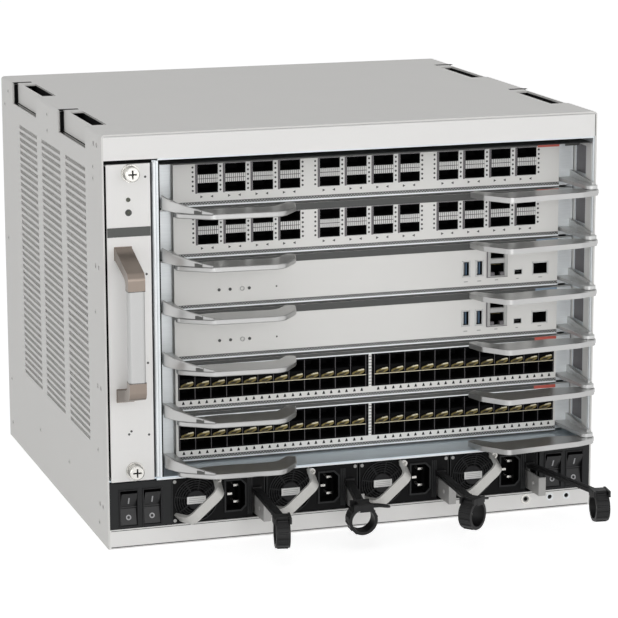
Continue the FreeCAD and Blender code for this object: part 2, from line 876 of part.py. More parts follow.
def small_spans(base):
    spans = []
    for start, stop in half_spans(base):
        for column in range(int(float(D.small_port_columns))):
            left = start + D.small_port_pitch * column + D.small_port_wall / 2
            spans.append((left, left + D.small_port_pitch - D.small_port_wall))
    return spans


def socket_datum():
    """Where the sockets are measured from: a fixed reach left of the face's right edge."""
    return face_right - D.socket_reach


def supervisor_windows(base):
    """Openings in a supervisor's face: (across, height) spans."""
    windows = []
    for index in (0, 1):
        left = base + D.usb_left + D.usb_pitch * index
        windows.append(((left, left + D.usb_width), (D.usb_low, D.usb_low + D.usb_height)))
    windows.append(((base + D.jack_block_left, base + D.jack_block_left + D.jack_block_width),
                    (D.jack_block_low, D.jack_block_low + D.jack_block_height)))
    windows.append(((base + D.service_left, base + D.service_left + D.service_width),
                    (D.service_low, D.service_low + D.service_height)))
    windows.append(((base + D.uplink_left, base + D.uplink_left + D.uplink_width),
                    (D.uplink_low, D.uplink_low + D.uplink_height)))
    return windows


def jack_openings(base):
    """The console and network jacks, one above the other in their shared block."""
    left = base + D.jack_block_left + (D.jack_block_width - D.jack_opening_width) / 2
    across = (left, left + D.jack_opening_width)
    return [(across, (D.jack_opening_low, D.jack_opening_low + D.jack_opening_height)),
            (across, (D.jack_upper_low, D.jack_upper_low + D.jack_upper_height))]


def make_card_face(label, kind):
    """The painted face plate with its windows, at slot height zero."""
    low = D.card_gap
    high = D.slot_pitch - D.card_gap
    sheet = block((face_left, face_right), (card_front, tray_front), (low, high))
    gap = D.seat_gap / 2
    if kind == "columns":
        spans = [((left - gap, right + gap), (D.column_low - gap,
                  D.column_low + D.port_height * 2 + D.port_rib_height + gap))
                 for left, right in column_spans(face_left)]
    elif kind == "dense":
        foot = D.small_port_low - D.small_port_wall - gap
        head = D.small_port_low + D.small_port_height * 2 + D.small_finger_height + D.small_port_wall + gap
        spans = [((left - gap, right + gap), (foot, head)) for left, right in half_spans(face_left)]
    else:
        spans = supervisor_windows(socket_datum())
    tools = [block(across, (card_front - 1, tray_front + 1), height) for across, height in spans]
    return sheet.cut(tools)


def cage_blocks(kind):
    """Port cages standing behind the face, before their sockets are opened."""
    back = card_front + D.port_depth + 2
    if kind == "columns":
        height = (D.column_low, D.column_low + D.port_height * 2 + D.port_rib_height)
        return [block(span, (card_front, back), height) for span in column_spans(face_left)]
    if kind == "dense":
        wall = D.small_port_wall
        low = D.small_port_low - wall
        top = D.small_port_low + D.small_port_height * 2 + D.small_finger_height + wall
        return [block(span, (card_front, back), (low, top)) for span in half_spans(face_left)]
    gap = D.seat_gap / 2
    return [block((across[0] + gap, across[1] - gap), (card_front, back), (height[0] + gap, height[1] - gap))
            for across, height in supervisor_windows(socket_datum())]


def socket_openings(kind):
    """The opening of every socket, blind behind the face."""
    depth = D.port_depth
    if kind == "columns":
        spans = [(left + D.port_wall, right - D.port_wall) for left, right in column_spans(face_left)]
        low = D.column_low + D.port_wall
        upper = D.column_low + D.port_height + D.port_rib_height
        height = D.port_height - D.port_wall
        return port_pockets(spans, low, height, depth) + port_pockets(spans, upper, height, depth)
    if kind == "dense":
        spans = small_spans(face_left)
        low = D.small_port_low
        upper = low + D.small_port_height + D.small_finger_height
        height = D.small_port_height
        return port_pockets(spans, low, height, depth) + port_pockets(spans, upper, height, depth)
    openings = []
    wall = D.port_wall
    for number, (across, height) in enumerate(supervisor_windows(socket_datum())):
        sockets = [((across[0] + wall, across[1] - wall), (height[0] + wall, height[1] - wall))]
        if number == 2:
            sockets = jack_openings(socket_datum())
        openings += [block(span, (card_front - 1, card_front + depth), level) for span, level in sockets]
    return openings


def arm_shape(side):
    """The arm that carries one lever: a flat finger out to the pivot, a web along it and the pin."""
    pivot = Vector(float(pivot_x(side)), float(pivot_y), 0)
    root_y = float(tray_front) + float(D.flange_setback)
    edge = float(D.card_side_gap) + 1.0
    if side < 0:
        root_x = float(cage_left) + edge
        inner_x = float(face_left) - 1.0
    else:
        root_x = float(face_right) + 1.0
        inner_x = float(cage_right) - edge
    boss = float(D.pivot_boss)
    outer = [(inner_x, root_y, 0)]
    if side > 0:
        outer.append((inner_x, float(front) - 0.3, 0))
    finger = [(root_x, root_y, 0)] + outer + [
        (pivot.x + boss, pivot.y + boss * 0.6, 1.5), (pivot.x + boss, pivot.y - boss, boss * 0.95),
        (pivot.x - boss, pivot.y - boss, boss * 0.95), (pivot.x - boss, pivot.y + boss * 0.6, 1.5)]
    base = float(D.arm_base)
    top = base + float(D.arm_height)
    flat = plate(finger, base, top - 1.6)
    web_sheet = float(D.arm_web_sheet)
    start = Vector(root_x if side < 0 else inner_x - web_sheet, root_y, 0)
    stop_x = pivot.x - boss + 0.6 if side < 0 else pivot.x + boss - 0.6 - web_sheet
    stop = Vector(stop_x, pivot.y + boss * 0.4, 0)
    if side > 0:
        start.x = min(start.x, float(cage_right) - edge - web_sheet)
        stop.x = min(stop.x, float(cage_right) - web_sheet - 0.5)
    rise = base + float(D.arm_web)
    front_rise = base + float(D.arm_height)
    across = Vector(web_sheet, 0, 0)
    corners = [Vector(start.x, start.y, base), Vector(stop.x, stop.y, base),
               Vector(stop.x, stop.y, front_rise), Vector(start.x, start.y, rise)]
    web = Part.Face(Part.makePolygon(corners + [corners[0]])).extrude(across)
    pin_low = float(D.lever_base)
    pin = Part.makeCylinder(float(D.pin_radius), base - pin_low, Vector(pivot.x, pivot.y, pin_low))
    return flat.fuse([web, pin])


def make_carrier(kind):
    """The zinc carrier: a shallow tray with front flanges, lever arms and the port cages."""
    low = D.guide_rise + D.seat_gap
    left = cage_left + D.card_side_gap
    right = cage_right - D.card_side_gap
    sheet = D.tray_sheet
    flange_y = (tray_front + D.flange_setback, tray_front + D.flange_setback + sheet)
    back = backplane_front - D.seat_gap
    pieces = [block((left, right), (flange_y[0], back), (low, low + sheet)),
              block((left, left + sheet), (flange_y[0], back), (low, low + D.tray_wall)),
              block((right - sheet, right), (flange_y[0], back), (low, low + D.tray_wall)),
              block((left, right), flange_y, (low, D.slot_pitch - D.card_gap * 2))]
    rear_block = block((left + 20, right - 20), (back - 14, back), (low, low + 18))
    stand = block((face_left + 1, face_left + 5), (tray_front, flange_y[0]), (low, low + sheet * 3))
    stand_right = block((face_right - 5, face_right - 1), (tray_front, flange_y[0]), (low, low + sheet * 3))
    shape = pieces[0].fuse(pieces[1:] + [rear_block, stand, stand_right, arm_shape(-1), arm_shape(1)]
                           + cage_blocks(kind))
    return shape.cut(socket_openings(kind)).removeSplitter()


def lever_shape(side):
    """An ejector lever about its pivot: boss, swept arm and a paddle with a notched tip."""
    length = float(D.lever_length)
    reach = float(D.lever_front)
    depth = float(D.lever_paddle_depth)
    tip = float(D.lever_tip)
    boss = float(D.pivot_boss)
    blend = boss * 0.9
    outline = [(-boss, boss * 0.2, blend * 0.6), (-boss * 0.5, reach * 0.42, blend),
               (length * 0.13, reach * 0.66, 6), (length * 0.79, reach, 8), (length * 0.95, reach * 0.1, 5),
               (length, -tip * 0.8, 2.2), (length * 0.93, -tip, 2), (length * 0.885, -tip * 0.72, 2),
               (length * 0.80, reach - depth - 3, 8), (length * 0.62, reach - depth - 3.5, 14),
               (length * 0.30, -tip * 0.42, 12), (boss, -boss * 0.75, 4), (-boss * 0.55, -boss * 0.75, 3)]
    low = float(D.lever_base)
    high = low + float(D.lever_thickness)
    shape = plate([(x, -y, radius) for x, y, radius in outline], low, high)
    bore = Part.makeCylinder(float(D.pin_radius + D.pin_clearance), high - low + 2, Vector(0, 0, low - 1))
    shape = shape.cut(bore)
    if side > 0:
        shape = shape.mirror(Vector(), Vector(1, 0, 0))
    return shape


# --- Power supplies --------------------------------------------------------------------------------

supply_floor = D.rail_height + D.supply_floor_gap
supply_top = shelf_bottom - D.supply_top_gap
supply_front = front + D.supply_setback


def supply_left(number):
    """Left side of a supply, counted from 1 at the left."""
    return inner_left + D.supply_start + D.supply_pitch * (number - 1)


def make_supply_housing():
    """One supply with its left side at zero: grille, inlet and latch bay cut into the front."""
    width = float(D.supply_width)
    face = float(supply_front)
    floor = float(supply_floor)
    top = float(supply_top)
    body = block((0, width), (face, backplane_front - D.seat_gap), (floor, top))
    centre = Vector(float(D.supply_fan_inset), face, (floor + top) / 2)
    recess = float(D.supply_fan_recess)
    bore = Part.makeCylinder(float(D.supply_fan_radius), recess, centre, Vector(0, 1, 0))
    body = body.cut(bore)
    hub = Part.makeCone(float(D.supply_hub_radius), float(D.supply_hub_radius) * 0.82, recess + 1.5,
                        centre + Vector(0, recess, 0), Vector(0, -1, 0))
    vane = float(D.supply_vane)
    vanes = []
    count = int(float(D.supply_vane_count))
    for index in range(count):
        reach = float(D.supply_fan_radius) + 0.5
        item = block((centre.x, centre.x + reach), (face + 0.5, face + recess * 0.6),
                     (centre.z - vane / 2, centre.z + vane / 2))
        item.rotate(centre, Vector(0, 1, 0), 360.0 * (index + 0.5) / count)
        vanes.append(item)
    body = body.fuse([hub] + vanes)

    left = float(D.inlet_inset)
    right = left + float(D.inlet_width)
    low = floor + float(D.inlet_low)
    high = low + float(D.inlet_height)
    corner = float(D.inlet_corner)
    outline = [(left, low), (right - corner, low), (right, low + corner), (right, high - corner),
               (right - corner, high), (left, high)]
    points = [Vector(x, face, z) for x, z in outline]
    socket = Part.Face(Part.makePolygon(points + [points[0]])).extrude(Vector(0, float(D.inlet_depth), 0))
    body = body.cut(socket)
    pin = float(D.inlet_pin)
    middle = (left + right) / 2
    places = ((middle + 3, low + 6), (middle - 3.5, (low + high) / 2), (middle + 3, high - 6))
    pins = [block((x - pin, x + pin), (face + float(D.inlet_depth) - float(D.inlet_pin_length),
                  face + float(D.inlet_depth) + 1), (z - pin / 2, z + pin / 2)) for x, z in places]

    bay_left = float(D.latch_inset)
    bay_right = bay_left + float(D.latch_bay_width)
    latch_low = floor + float(D.latch_low)
    latch_top = latch_low + float(D.latch_height)
    bay_back = face + float(D.latch_bay_depth)
    bay = block((bay_left, bay_right), (face - 1, bay_back), (latch_low - 1, latch_top + 1))
    body = body.cut(bay)
    knuckle = latch_pivot()
    pivot = Part.makeCylinder(float(D.latch_pin_radius), latch_top - latch_low + 2,
                              Vector(knuckle.x, knuckle.y, latch_low - 1))
    return body.fuse(pins + [pivot]).removeSplitter()


def latch_pivot():
    """Foot of the latch's pin, in the supply's own frame."""
    across = float(D.latch_inset + D.latch_bay_width) - float(D.latch_knuckle) - 2.2
    depth = float(supply_front + D.latch_bay_depth) - float(D.latch_knuckle) - 1.2
    return Vector(across, depth, float(supply_floor + D.latch_low))


def make_latch():
    """A bent tab on its knuckle, with a finger flange and a hole through its side."""
    pivot = latch_pivot()
    low = pivot.z
    high = low + float(D.latch_height)
    sheet = float(D.latch_sheet)
    tip = float(supply_front - D.latch_reach)
    left = pivot.x - float(D.latch_knuckle)
    knuckle = Part.makeCylinder(float(D.latch_knuckle), high - low - 0.6, Vector(pivot.x, pivot.y, low + 0.3))
    side = block((left, left + sheet), (tip, pivot.y), (low + 0.3, high - 0.3))
    flange = block((left, left + float(D.latch_flange)), (tip, tip + sheet), (low + 0.3, high - 0.3))
    tab = side.fuse([flange, knuckle])
    bore = Part.makeCylinder(float(D.latch_pin_radius + D.pin_clearance), high - low + 4,
                             Vector(pivot.x, pivot.y, low - 2))
    hole = Part.makeCylinder(float(D.latch_hole_radius), 20, Vector(left - 5, (tip + float(supply_front)) / 2,
                             (low + high) / 2), Vector(1, 0, 0))
    hole = hole.common(block((left - 5, left + sheet + 1), (tip, float(supply_front)), (low, high)))
    return tab.cut([bore, hole]).removeSplitter()


def make_bow():
    """A flat strap bent into a bow, standing on the face from corner to corner across the fan."""
    face = float(supply_front)
    floor = float(supply_floor)
    top = Vector(float(D.bow_top_inset), face, floor + float(D.bow_top_level))
    low = Vector(float(D.bow_low_inset), face, floor + float(D.bow_low_level))
    span = (top - low).Length
    sheet = float(D.bow_sheet)
    reach = float(D.bow_reach)
    bend = float(D.bow_bend)
    width = float(D.bow_width)
    slope = reach * 0.22
    outer = [(-sheet / 2, 0, 0), (-sheet / 2 + slope, reach, bend), (span + sheet / 2 - slope, reach, bend),
             (span + sheet / 2, 0, 0)]
    inner = [(span - sheet / 2, 0, 0), (span - sheet / 2 - slope, reach - sheet, bend - sheet),
             (sheet / 2 + slope, reach - sheet, bend - sheet), (sheet / 2, 0, 0)]
    bow = plate(outer + inner, -width / 2, width / 2)
    along = (top - low).normalize()
    forward = Vector(0, -1, 0)
    normal = along.cross(forward)
    turn = FreeCAD.Matrix(along.x, forward.x, normal.x, low.x, along.y, forward.y, normal.y, low.y,
                          along.z, forward.z, normal.z, low.z, 0, 0, 0, 1)
    bow = bow.transformGeometry(turn)
    rivet = Part.makeCylinder(float(D.bow_rivet_radius), 2.2, top + Vector(0, 0, 0), forward)
    return bow.fuse(rivet).removeSplitter()


# How each retainer hangs: reach of its clamp, swing to the right, droop and twist of the ring.
STRAP_POSES = {1: (84.0, -3.0, 1.0, 82.0), 2: (58.0, -9.0, 4.0, 8.0), 3: (98.0, -5.5, -2.0, 42.0),
               4: (106.0, 10.0, -1.0, 72.0)}


def make_strap(number):
    """The retainer: a plug in the face, a ribbed strap, and the clamp ring with buckle and tail."""
    length, swing, droop, twist = STRAP_POSES[number]
    width = float(D.strap_width)
    sheet = float(D.strap_sheet)
    radius = float(D.clamp_radius)
    wall = float(D.clamp_sheet)
    clamp = float(D.clamp_length)
    buckle = float(D.clamp_buckle)
    tail = float(D.clamp_tail)
    tail_width = float(D.clamp_tail_width) / 2
    centre = Vector(0, -length - clamp / 2, sheet / 2 - radius)
    ring = Part.makeCylinder(radius, clamp, centre - Vector(0, clamp / 2, 0), Vector(0, 1, 0))
    hollow_end = centre - Vector(0, clamp / 2 + 1, 0)
    hollow = Part.makeCylinder(radius - wall, clamp + 2, hollow_end, Vector(0, 1, 0))
    lock = block((-buckle / 2, buckle), (centre.y - clamp / 2 - 1.5, centre.y + clamp / 2 + 1.5),
                 (-buckle * 0.45, buckle * 0.45))
    outline = [(0, -tail_width), (tail * 0.7, -tail_width), (tail, -0.6), (tail, 0.6),
               (tail * 0.7, tail_width), (0, tail_width)]
    points = [Vector(buckle * 0.6 + x, centre.y + y, -1) for x, y in outline]
    tongue = Part.Face(Part.makePolygon(points + [points[0]])).extrude(Vector(0, 0, sheet * 0.8))
    tongue.rotate(Vector(buckle * 0.6, centre.y, 0), Vector(0, 1, 0), D.clamp_tail_fall.value)
    clamp_piece = ring.fuse([lock, tongue]).cut(hollow)
    clamp_piece.rotate(Vector(0, centre.y, 0), Vector(0, 0, 1), twist)
    strip = block((-width / 2, width / 2), (centre.y, -1), (-sheet / 2, sheet / 2))
    strap = clamp_piece.fuse(strip)
    strap.rotate(Vector(), Vector(1, 0, 0), droop)
    strap.rotate(Vector(), Vector(0, 0, 1), swing)
    plug = block((-width / 2, width / 2), (-3, 0), (-sheet * 1.2, sheet * 1.2))
    return strap.fuse(plug).removeSplitter()


# --- Switch panels ---------------------------------------------------------------------------------


def rocker_centres():
    """Centres across of the four rockers, left to right."""
    right_panel = supply_left(D.supply_count + 1) + D.seat_gap
    starts = (inner_left + D.rocker_left_start, right_panel + D.rocker_right_start)
    return [start + D.rocker_pitch * index for start in starts for index in (0, 1)]


rocker_y = front + 4.0


def make_switch_panels():
    """Two short boxes with a bay for each rocker and bearing holes for its pins."""
    panels = []
    low = D.rail_height
    high = shelf_top - D.shelf_lip
    right_start = supply_left(D.supply_count + 1) + D.seat_gap
    spans = ((inner_left, supply_left(1) - D.seat_gap), (right_start, inner_right))
    for number, span in enumerate(spans):
        shell = box("switch_box", span, (front, front + D.switch_panel_depth), (low, high))
        tools = []
        for centre in rocker_centres()[number * 2:number * 2 + 2]:
            half = D.rocker_width / 2 + D.rocker_gap
            tall = D.rocker_height / 2 + D.rocker_gap
            tools.append(box("rocker_bay", (centre - half, centre + half),
                             (front - 1, front + D.rocker_depth + D.rocker_frame),
                             (D.rocker_level - tall, D.rocker_level + tall)))
            bearing = (centre - half - D.rocker_frame, rocker_y, D.rocker_level)
            tools.append(cylinder("rocker_bearing", "x", bearing, D.rocker_pin_radius + D.pin_clearance,
                                  (half + D.rocker_frame) * 2))
        panels.append(cut("switch_panel", shell, tools))
    return fuse("switch_panels", panels)


def rocker_profile():
    """Side view of a rocker: two flats that meet in a shallow valley, round at the back."""
    tall = float(D.rocker_height) / 2
    proud = float(D.rocker_proud)
    lean = math.radians(7)
    corners = [(-proud - 2.5, tall), (-0.5, 0.0), (-proud - 2.5, -tall), (4.5, -tall * 0.92), (6.2, 0.0),
               (4.5, tall * 0.92)]
    turned = []
    for y, z in corners:
        turned.append((y * math.cos(lean) - z * math.sin(lean), y * math.sin(lean) + z * math.cos(lean)))
    return turned


def make_rocker():
    width = float(D.rocker_width)
    points = [Vector(-width / 2, y, z * 0.97) for y, z in rocker_profile()]
    shape = Part.Face(Part.makePolygon(points + [points[0]])).extrude(Vector(width, 0, 0))
    pin_length = width + float(D.rocker_gap + D.rocker_frame) * 2 - 0.6
    pin_end = Vector(-pin_length / 2, 0, 0)
    pin = Part.makeCylinder(float(D.rocker_pin_radius), pin_length, pin_end, Vector(1, 0, 0))
    return shape.fuse(pin).removeSplitter()


# --- Assembly --------------------------------------------------------------------------------------

publish(make_outer_wrap(), "outer_wrap")
publish(make_base_pan(), "base_pan")
publish(make_front_bezel(), "front_bezel")
publish(make_handle_pockets(), "handle_pockets")
publish(make_cage_divider(), "cage_divider")
publish(make_cage_frame(), "cage_frame")
publish(make_cage_shelf(), "cage_shelf")
publish(make_backplane(), "backplane")
publish(make_rear_panel(), "rear_panel")
publish(make_switch_panels(), "switch_panels")
for number, centre in enumerate(rocker_centres(), start=1):
    rocker = feature("rocker_" + str(number), make_rocker(), (centre, rocker_y, D.rocker_level))
    publish(rocker, "rocker_" + str(number))

publish(make_fan_tray_frame(), "fan_tray_frame")
publish(make_fans(), "fan_tray_fans")
publish(make_handle_ends(), "fan_tray_handle_ends")
publish(make_grip(), "fan_tray_grip")
for label, level in zip(("thumbscrew_top", "thumbscrew_bottom"), thumb_levels()):
    publish(make_thumbscrew(label, level), label)

CARD_KINDS = ("columns", "columns", "supervisor", "supervisor", "dense", "dense")
lever_shapes = {"left": lever_shape(-1), "right": lever_shape(1)}
face_shapes = {kind: make_card_face(kind, kind) for kind in set(CARD_KINDS)}
carrier_shapes = {kind: make_carrier(kind) for kind in set(CARD_KINDS)}
for slot, kind in enumerate(CARD_KINDS, start=1):
    name = "card_" + str(slot)
    floor = slot_floor(slot)
    publish(feature(name + "_face", face_shapes[kind], (0, 0, floor)), name + "_face")
    publish(feature(name + "_carrier", carrier_shapes[kind], (0, 0, floor)), name + "_carrier")
    for side, word in ((-1, "left"), (1, "right")):
        lever = feature(name + "_lever_" + word, lever_shapes[word], (pivot_x(side), pivot_y, floor))
        publish(lever, name + "_lever_" + word)

housing_shape = make_supply_housing()
latch_shape = make_latch()
bow_shape = make_bow()
for number in range(1, int(float(D.supply_count)) + 1):
    name = "supply_" + str(number)
    left = supply_left(number)
    publish(feature(name + "_housing", housing_shape, (left, 0, 0)), name + "_housing")
    publish(feature(name + "_handle", bow_shape, (left, 0, 0)), name + "_handle")
    publish(feature(name + "_latch", latch_shape, (left, 0, 0)), name + "_latch")
    strap_place = (left + D.strap_inset, supply_front, supply_floor + D.strap_level)
    publish(feature(name + "_strap", make_strap(number), strap_place), name + "_strap")

doc.recompute()
for item in doc.Objects:
    if "Invalid" in item.State or "Error" in item.State:
        raise RuntimeError(item.Label + " did not compute")
for node in nodes:
    if node.Shape.isNull() or not node.Shape.isValid():
        raise RuntimeError(node.Label + " has no valid shape")
os.makedirs("parts", exist_ok=True)
for node in nodes:
    node.Shape.exportStep("parts/" + node.Label + ".step")
print(len(nodes), "nodes written")
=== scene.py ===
import json
import math
import bmesh
import bpy
from mathutils import Matrix, Vector


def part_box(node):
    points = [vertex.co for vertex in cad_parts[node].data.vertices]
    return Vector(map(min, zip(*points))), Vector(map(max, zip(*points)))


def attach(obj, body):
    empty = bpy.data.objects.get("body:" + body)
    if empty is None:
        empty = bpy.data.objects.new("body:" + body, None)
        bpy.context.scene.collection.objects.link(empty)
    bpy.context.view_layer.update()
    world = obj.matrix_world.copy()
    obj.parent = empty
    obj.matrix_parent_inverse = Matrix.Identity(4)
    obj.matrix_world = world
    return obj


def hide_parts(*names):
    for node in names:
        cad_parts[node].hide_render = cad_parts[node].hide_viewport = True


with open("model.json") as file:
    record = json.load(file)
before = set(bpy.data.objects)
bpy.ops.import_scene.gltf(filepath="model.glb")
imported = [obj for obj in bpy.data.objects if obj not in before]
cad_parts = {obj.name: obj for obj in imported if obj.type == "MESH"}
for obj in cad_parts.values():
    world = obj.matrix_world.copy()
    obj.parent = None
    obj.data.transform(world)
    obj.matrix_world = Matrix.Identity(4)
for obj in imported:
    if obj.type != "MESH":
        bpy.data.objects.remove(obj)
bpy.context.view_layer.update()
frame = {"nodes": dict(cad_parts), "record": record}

MM = 0.001
SLOTS = range(1, 7)
SUPPLIES = range(1, 5)
nodes = frame["nodes"]


# --- materials

def linear(r, g, b):
    """8-bit display colour to linear."""
    out = []
    for value in (r, g, b):
        value /= 255.0
        out.append(value / 12.92 if value <= 0.04045 else ((value + 0.055) / 1.055) ** 2.4)
    return out


def add(tree, kind):
    """A new shader node of one kind."""
    return tree.nodes.new("ShaderNode" + kind)


def material(name, colour, rough=0.5, metal=0.0, spread=0.05, grain=900.0, bump=0.02, streak=None,
             second=None, coat=0.0, specular=0.5, patch=14.0, span=0.07):
    """Principled surface whose colour, roughness and relief all vary with procedural noise."""
    mat = bpy.data.materials.new(name)
    mat.use_nodes = True
    tree = mat.node_tree
    link = tree.links.new
    shader = tree.nodes["Principled BSDF"]
    shader.inputs["Metallic"].default_value = metal
    shader.inputs["Specular IOR Level"].default_value = specular
    shader.inputs["Coat Weight"].default_value = coat
    base = linear(*colour)
    other = linear(*second) if second else [min(1.0, c * (1 - spread * 2)) for c in base]
    coords = add(tree, "TexCoord")
    mapping = add(tree, "Mapping")
    if streak:
        mapping.inputs["Scale"].default_value = streak
    link(coords.outputs["Object"], mapping.inputs["Vector"])
    fine = add(tree, "TexNoise")
    fine.inputs["Scale"].default_value = grain
    fine.inputs["Detail"].default_value = 3.0
    link(mapping.outputs["Vector"], fine.inputs["Vector"])
    broad = add(tree, "TexNoise")
    broad.inputs["Scale"].default_value = patch
    broad.inputs["Detail"].default_value = 2.0
    link(coords.outputs["Object"], broad.inputs["Vector"])
    blend = add(tree, "Math")
    blend.operation = "MULTIPLY_ADD"
    link(fine.outputs["Fac"], blend.inputs[0])
    blend.inputs[1].default_value = 0.55
    halved = add(tree, "Math")
    halved.operation = "MULTIPLY"
    link(broad.outputs["Fac"], halved.inputs[0])
    halved.inputs[1].default_value = 0.45
    link(halved.outputs[0], blend.inputs[2])
    ramp = add(tree, "ValToRGB")
    ramp.color_ramp.elements[0].position = 0.3
    ramp.color_ramp.elements[1].position = 0.7
    ramp.color_ramp.elements[0].color = (*other, 1)
    ramp.color_ramp.elements[1].color = (*base, 1)
    link(blend.outputs[0], ramp.inputs["Fac"])
    link(ramp.outputs["Color"], shader.inputs["Base Color"])
    roughness = add(tree, "MapRange")
    roughness.inputs["To Min"].default_value = max(0.03, rough - span)
    roughness.inputs["To Max"].default_value = min(1.0, rough + span)
    link(blend.outputs[0], roughness.inputs["Value"])
    link(roughness.outputs["Result"], shader.inputs["Roughness"])
    if bump:
        relief = add(tree, "Bump")
        relief.inputs["Strength"].default_value = bump * 10
        relief.inputs["Distance"].default_value = 0.00005
        link(fine.outputs["Fac"], relief.inputs["Height"])
        link(relief.outputs["Normal"], shader.inputs["Normal"])
    return mat


M = {
    "shell": material("shell_coat", (222, 221, 218), 0.52, spread=0.02, grain=1400, bump=0.03),
    "face": material("face_coat", (236, 235, 233), 0.5, spread=0.018, grain=1500, bump=0.025),
    "card": material("card_coat", (230, 229, 226), 0.5, spread=0.02, grain=1500, bump=0.025),
    "zinc": material("zinc_sheet", (228, 233, 236), 0.36, metal=0.4, spread=0.06, grain=260, bump=0.02,
                     streak=(0.25, 1.0, 4.0)),
    "bright": material("bright_sheet", (240, 244, 246), 0.34, metal=0.3, spread=0.05, grain=300, bump=0.02,
                       streak=(0.3, 1.0, 3.0)),
    "shelf": material("shelf_sheet", (216, 227, 234), 0.34, metal=0.5, spread=0.05, grain=240, bump=0.02,
                      streak=(0.2, 1.0, 4.0)),
    "lever": material("lever_satin", (184, 184, 183), 0.3, metal=0.85, spread=0.03, grain=60, bump=0,
                      span=0.02),
    "cage": material("port_cage", (206, 207, 206), 0.38, metal=0.6, spread=0.07, grain=500, bump=0.02),
    # dark for port interiors, and for painted shade in the gaps and recesses whose pieces say so
    "dark": material("dark_interior_and_shade", (7, 7, 8), 0.8, spread=0.2, grain=600, bump=0, specular=0.1),
    "strip": material("dark_strip", (70, 71, 70), 0.55, spread=0.06, grain=1200, bump=0.02),
    "red": material("red_tag", (204, 92, 78), 0.45, spread=0.05, grain=900, bump=0.02),
    "blue_grey": material("blue_grey_tag", (138, 158, 178), 0.45, spread=0.05, grain=900, bump=0.02),
    "gold": material("gold_fingers", (128, 114, 66), 0.35, metal=0.6, spread=0.15, grain=300, bump=0,
                     second=(78, 68, 36)),
    # cream colour for painted highlights on the contact fingers
    "gold_highlight": material("finger_highlight", (226, 218, 190), 0.35, metal=0.3, spread=0.06, grain=300, bump=0),
    # grey painted as shade, in the gaps between port ribs and at the foot of the lever's arm band
    "gap_shade_grey": material("gap_shade_grey", (84, 84, 82), 0.5, metal=0.3, spread=0.08, grain=500, bump=0),
    "shade": material("window_shade", (104, 101, 104), 0.45, metal=0.3, spread=0.06, grain=300, bump=0),
    "usb": material("blue_insert", (62, 88, 112), 0.4, spread=0.06, grain=800, bump=0.02),
    "jack": material("jack_shell", (176, 176, 174), 0.4, metal=0.3, spread=0.06, grain=600, bump=0.02),
    "black": material("black_plastic", (17, 17, 19), 0.5, spread=0.14, grain=1000, bump=0.03, specular=0.3),
    "soft_black": material("strap_nylon", (10, 10, 11), 0.5, spread=0.15, grain=800, bump=0.02, specular=0.3),
    "supply": material("supply_coat", (7, 7, 8), 0.6, spread=0.12, grain=1200, bump=0.03, specular=0.12),
    "rocker": material("rocker_gloss", (14, 14, 16), 0.3, spread=0.12, grain=900, bump=0.01, specular=0.35),
    "panel": material("switch_panel", (27, 28, 29), 0.5, spread=0.1, grain=1000, bump=0.03, specular=0.25),
    "guard": material("guard_wire", (26, 27, 28), 0.45, spread=0.1, grain=1000, bump=0, specular=0.3),
    "handle": material("supply_handle", (196, 195, 191), 0.4, metal=0.3, spread=0.05, grain=900, bump=0.03),
    "latch": material("latch_coat", (172, 171, 169), 0.45, metal=0.2, spread=0.06, grain=900, bump=0.03),
    "bronze": material("bronze_satin", (138, 127, 118), 0.28, metal=0.9, spread=0.03, grain=40, bump=0,
                       span=0.02),
    "grip": material("grip_satin", (188, 188, 187), 0.36, metal=0.45, spread=0.03, grain=1300, bump=0.03),
    "nickel": material("nickel", (224, 222, 217), 0.26, metal=0.8, spread=0.06, grain=500, bump=0.02),
    "screw": material("screw_head", (150, 150, 148), 0.35, metal=0.85, spread=0.08, grain=600, bump=0.03),
    "mark": material("white_mark", (168, 168, 170), 0.5, spread=0.03, grain=900, bump=0.01),
    "label": material("bare_label", (228, 228, 226), 0.45, spread=0.02, grain=900, bump=0.01),
    "band": material("label_band", (74, 76, 73), 0.42, spread=0.05, grain=900, bump=0.02),
    "dash": material("pale_dash", (158, 158, 156), 0.5, spread=0.05, grain=900, bump=0),
    "fan": material("fan_plastic", (58, 58, 60), 0.5, spread=0.1, grain=800, bump=0.04),
    "led": material("led_lens", (70, 74, 60), 0.25, spread=0.1, grain=900, bump=0.01),
}


def dress(prefix, key):
    """Give every CAD node whose name starts with the prefix one material."""
    for name, obj in nodes.items():
        if name.startswith(prefix):
            if not obj.material_slots:
                obj.data.materials.append(M[key])
            for place in obj.material_slots:
                place.material = M[key]


for prefix, key in (("outer_wrap", "shell"), ("handle_pockets", "shell"), ("front_bezel", "face"),
                    ("base_pan", "face"), ("rear_panel", "zinc"), ("backplane", "zinc"),
                    ("cage_frame", "zinc"), ("cage_divider", "zinc"), ("cage_shelf", "shelf"),
                    ("switch_panels", "panel"), ("rocker_", "rocker"), ("fan_tray_frame", "face"),
                    ("fan_tray_fans", "fan"), ("fan_tray_handle_ends", "bronze"), ("fan_tray_grip", "grip"),
                    ("thumbscrew", "nickel")):
    dress(prefix, key)
for slot in SLOTS:
    dress("card_%d_face" % slot, "card")
    dress("card_%d_carrier" % slot, "cage")
    dress("card_%d_lever" % slot, "lever")
for number in SUPPLIES:
    dress("supply_%d_housing" % number, "supply")
    dress("supply_%d_handle" % number, "handle")
    dress("supply_%d_latch" % number, "latch")
    dress("supply_%d_strap" % number, "soft_black")


def soften(prefix, width, segments=3):
    """Round the sharp edges of the nodes whose name starts with the prefix, with a modifier."""
    for name, obj in nodes.items():
        if name.startswith(prefix):
            edge = obj.modifiers.new("soft_edge", "BEVEL")
            edge.width = width * MM
            edge.segments = segments
            edge.limit_method = "ANGLE"
            edge.angle_limit = math.radians(40)
            edge.harden_normals = False


